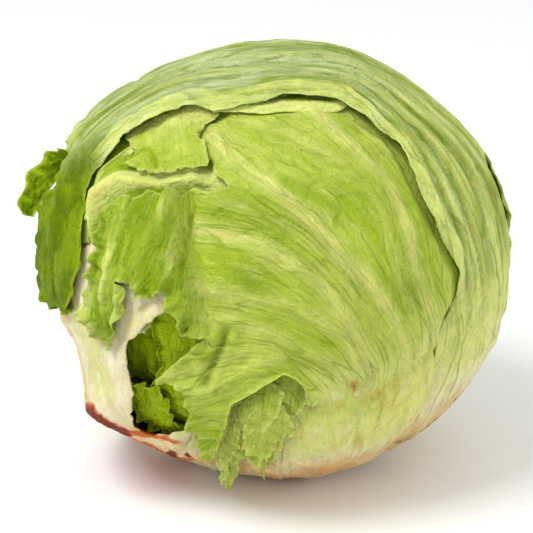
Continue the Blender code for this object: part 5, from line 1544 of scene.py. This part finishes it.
def heart_ball():
    """The ball of inner leaves: its surface steps where one leaf laps over the next."""
    lean = np.linspace(0.0, math.pi, HEART_RINGS + 1)[1:-1]
    spin = np.linspace(0.0, 2.0 * math.pi, HEART_SIDES, endpoint=False)
    lean, spin = (part.ravel() for part in np.meshgrid(lean, spin, indexing="ij"))
    way = np.stack([np.sin(lean) * np.cos(spin), np.sin(lean) * np.sin(spin), np.cos(lean)], axis=1)
    way = np.vstack([way, [[0.0, 0.0, 1.0], [0.0, 0.0, -1.0]]])
    pattern = onto_pattern(FACE, way)
    across, width, rise, height, hollow_depth = HEART_HOLLOW
    hollow = np.exp(-((pattern[:, 0] - across) / width) ** 2
                    - ((pattern[:, 1] - rise) / height) ** 2)
    turn = np.arctan2(way[:, 1], way[:, 0]) + 1.6 * way[:, 2]
    lap = (turn * HEART_LAPS / (2.0 * math.pi)) % 1.0
    near_base = smooth_step(-0.80, -0.97, way[:, 2])
    depth = (HEART_DEPTH + HEART_LAP_STEP * lap + hollow_depth * hollow
             + HEART_BASE_RISE * near_base)
    ripple = layered_noise(way[:, 0] * 7.0, way[:, 2] * 5.0 + way[:, 1] * 4.0, 201)
    radius = head_radius(way, depth) + 0.6 * ripple
    floor = (CENTRE_HEIGHT - STEM_HEIGHT - PIECE_GAP) / np.maximum(-way[:, 2], 1e-3)
    radius = np.minimum(radius, floor)
    points = HEAD_CENTRE + way * radius[:, None]
    # Lighter where the ripples rise and darker in their hollows: painted highlight and painted
    # shade.
    tint = mixed(INNER_DEEP, INNER_GREEN, 0.25 + 0.6 * ripple + 0.3 * lap)
    flow = np.stack([turn * HALF_WIDTH / 2.0, way[:, 2] * HALF_WIDTH], axis=1)
    faces = ring_faces(HEART_RINGS - 1, HEART_SIDES, False)
    return [turned(points, faces, tint, (0.5, 0.7, 0.6), flow)]


def stem_butt():
    """The cut stem: a profile turned about the vertical, with rings across its cut face."""
    profile = np.array(STEM_PROFILE)
    turn = np.linspace(0.0, 2.0 * math.pi, STEM_SIDES, endpoint=False)
    x = profile[:, :1] * np.cos(turn)
    y = profile[:, :1] * np.sin(turn)
    z = np.repeat(profile[:, 1:], STEM_SIDES, axis=1)
    rings = np.stack([x, y, z], axis=2).reshape(-1, 3)
    points = np.vstack([rings, [[0.0, 0.0, 0.0], [0.0, 0.0, STEM_HEIGHT]]])
    points += HEAD_CENTRE - np.array([0.0, 0.0, CENTRE_HEIGHT])
    ring = np.concatenate([np.repeat(profile[:, 0], STEM_SIDES), [0.0, 0.0]])
    spin = np.concatenate([np.tile(turn, len(profile)), [0.0, 0.0]])
    browned = layered_noise(ring / 2.0, spin * 2.0, 205)
    tint = coated(STEM_TAN,
                  (RUST, 0.35 + 0.35 * browned),
                  (CREAM, smooth_step(0.6, 3.0, points[:, 2] - STEM_BOX[0][2] / MM)))
    faces = ring_faces(len(profile), STEM_SIDES, True)
    return [turned(points, faces, tint, (0.1, 0.6, 0.3), np.stack([ring, spin * 8.0], axis=1))]


# Finishes by slot: vein colour, which also paints shade in grooves and creases, bloom, vein and
# streak gaps, vein and bloom shares, roughness and gloss
FINISHES = {
    "wrapper_green": leaf_finish("wrapper_finish", CROWN_DEEP, CROWN_BLOOM, 6.0, 1.8, 0.55, 0.65,
                                 0.55, 0.04),
    "face_green": leaf_finish("face_finish", FACE_DEEP, RIB_PALE, 4.2, 1.3, 0.75, 0.5, 0.45, 0.14),
    "deep_green": leaf_finish("deep_finish", INNER_DEEP, FRILL_EDGE, 3.5, 1.2, 0.5, 0.3, 0.45,
                              0.05),
    "pale_leaf": leaf_finish("pale_finish", RUST, CREAM, 5.5, 1.4, 0.16, 0.5, 0.5, 0.1),
    "white_base": leaf_finish("base_finish", BLUSH, CREAM, 7.0, 2.2, 0.3, 0.4, 0.5, 0.05),
    "cut_stem": leaf_finish("stem_finish", RUST_DARK, CREAM, 3.0, 1.5, 0.4, 0.3, 0.7, 0.2),
}
PIECES = (
    ("crown_leaf", ["leaf_crown"], crown_leaf, "wrapper_green"),
    ("shoulder_leaf", ["leaf_shoulder"], shoulder_leaf, "face_green"),
    ("front_leaf", ["leaf_front"], front_leaf, "face_green"),
    ("fold_leaf", ["leaf_fold"], fold_leaf, "face_green"),
    ("tips_leaf", ["leaf_tips"], tips_leaf, "face_green"),
    ("lower_leaf", ["leaf_lower"], lower_leaf, "pale_leaf"),
    ("base_left_leaf", ["leaf_base_left"], base_left_leaf, "white_base"),
    ("curl_left_leaf", ["leaf_curl_left"], curl_left_leaf, "deep_green"),
    ("back_leaf", ["leaf_back"], back_leaf, "wrapper_green"),
    ("edge_right_leaf", ["leaf_edge_right"], edge_right_leaf, "wrapper_green"),
    ("inner_leaf_right", ["leaf_inner_right"], inner_leaf_right, "deep_green"),
    ("inner_leaf_left", ["leaf_inner_left"], inner_leaf_left, "deep_green"),
    ("heart_ball", ["heart"], heart_ball, "deep_green"),
    ("stem_butt", ["stem"], stem_butt, "cut_stem"),
)
for name, nodes, shaped, slot in PIECES:
    finished_piece(name, nodes, shaped(), FINISHES[slot])


# Floor, light and camera

FLOOR_HALF = 4.0
CAMERA_DISTANCE = 0.8
CAMERA_LEFT = 0.002757
CAMERA_DOWN = 0.002585
LENS = 156.77
SENSOR_WIDTH = 36.0
WORLD_LIGHT = 0.78
# Name, place to the face's right, up and out in metres, size and watts
LIGHTS = (("key", (-0.55, 0.8, 0.7), 0.6, 11.0), ("fill", (1.1, 0.1, 0.25), 0.9, 4.2))


def pale_floor():
    """A plain pale square under the head."""
    half = FLOOR_HALF
    corners = [(-half, -half, 0.0), (half, -half, 0.0), (half, half, 0.0), (-half, half, 0.0)]
    mesh = bpy.data.meshes.new("floor")
    mesh.from_pydata(corners, [], [(0, 1, 2, 3)])
    material = bpy.data.materials.new("floor_finish")
    material.use_nodes = True
    tree = material.node_tree
    shader = tree.nodes["Principled BSDF"]
    place = linked(tree, "ShaderNodeTexCoord").outputs["Object"]
    cloud = linked(tree, "ShaderNodeTexNoise", {"Vector": place, "Scale": 2.0}).outputs["Fac"]
    colour = blended(tree, cloud, (0.90, 0.90, 0.90), (0.93, 0.93, 0.93))
    tree.links.new(colour, shader.inputs["Base Color"])
    shader.inputs["Roughness"].default_value = 0.9
    mesh.materials.append(material)
    floor = bpy.data.objects.new("floor", mesh)
    bpy.context.scene.collection.objects.link(floor)


def soft_light(name, place, size, watts):
    """A square area light at a place by the head, in the face's right, up and out metres."""
    facing, right, up = FACE
    centre = Vector(HEAD_CENTRE * MM)
    across, rise, out = place
    location = centre + Vector(right * across + up * rise + facing * out)
    light = bpy.data.lights.new(name, "AREA")
    light.energy = watts
    light.size = size
    lamp = bpy.data.objects.new(name, light)
    lamp.location = location
    lamp.rotation_euler = (centre - location).to_track_quat("-Z", "Y").to_euler()
    bpy.context.scene.collection.objects.link(lamp)


def studio():
    """A pale world, and soft lights from the upper left and from the right."""
    world = bpy.data.worlds.new("studio")
    world.use_nodes = True
    world.node_tree.nodes["Background"].inputs["Color"].default_value = (1.0, 1.0, 1.0, 1.0)
    world.node_tree.nodes["Background"].inputs["Strength"].default_value = WORLD_LIGHT
    bpy.context.scene.world = world
    for light in LIGHTS:
        soft_light(*light)
    bpy.context.scene.view_settings.view_transform = "Standard"


def face_camera():
    """The camera in front of the face, looking straight at it."""
    facing, right, up = (Vector(direction) for direction in FACE)
    camera = bpy.data.cameras.new("camera")
    camera.lens = LENS
    camera.sensor_width = SENSOR_WIDTH
    eye = bpy.data.objects.new("camera", camera)
    turn = Matrix((right, up, facing)).transposed()
    eye.location = (Vector(HEAD_CENTRE * MM) + facing * CAMERA_DISTANCE - right * CAMERA_LEFT
                    - up * CAMERA_DOWN)
    eye.rotation_euler = turn.to_euler()
    bpy.context.scene.collection.objects.link(eye)
    bpy.context.scene.camera = eye


pale_floor()
studio()
face_camera()
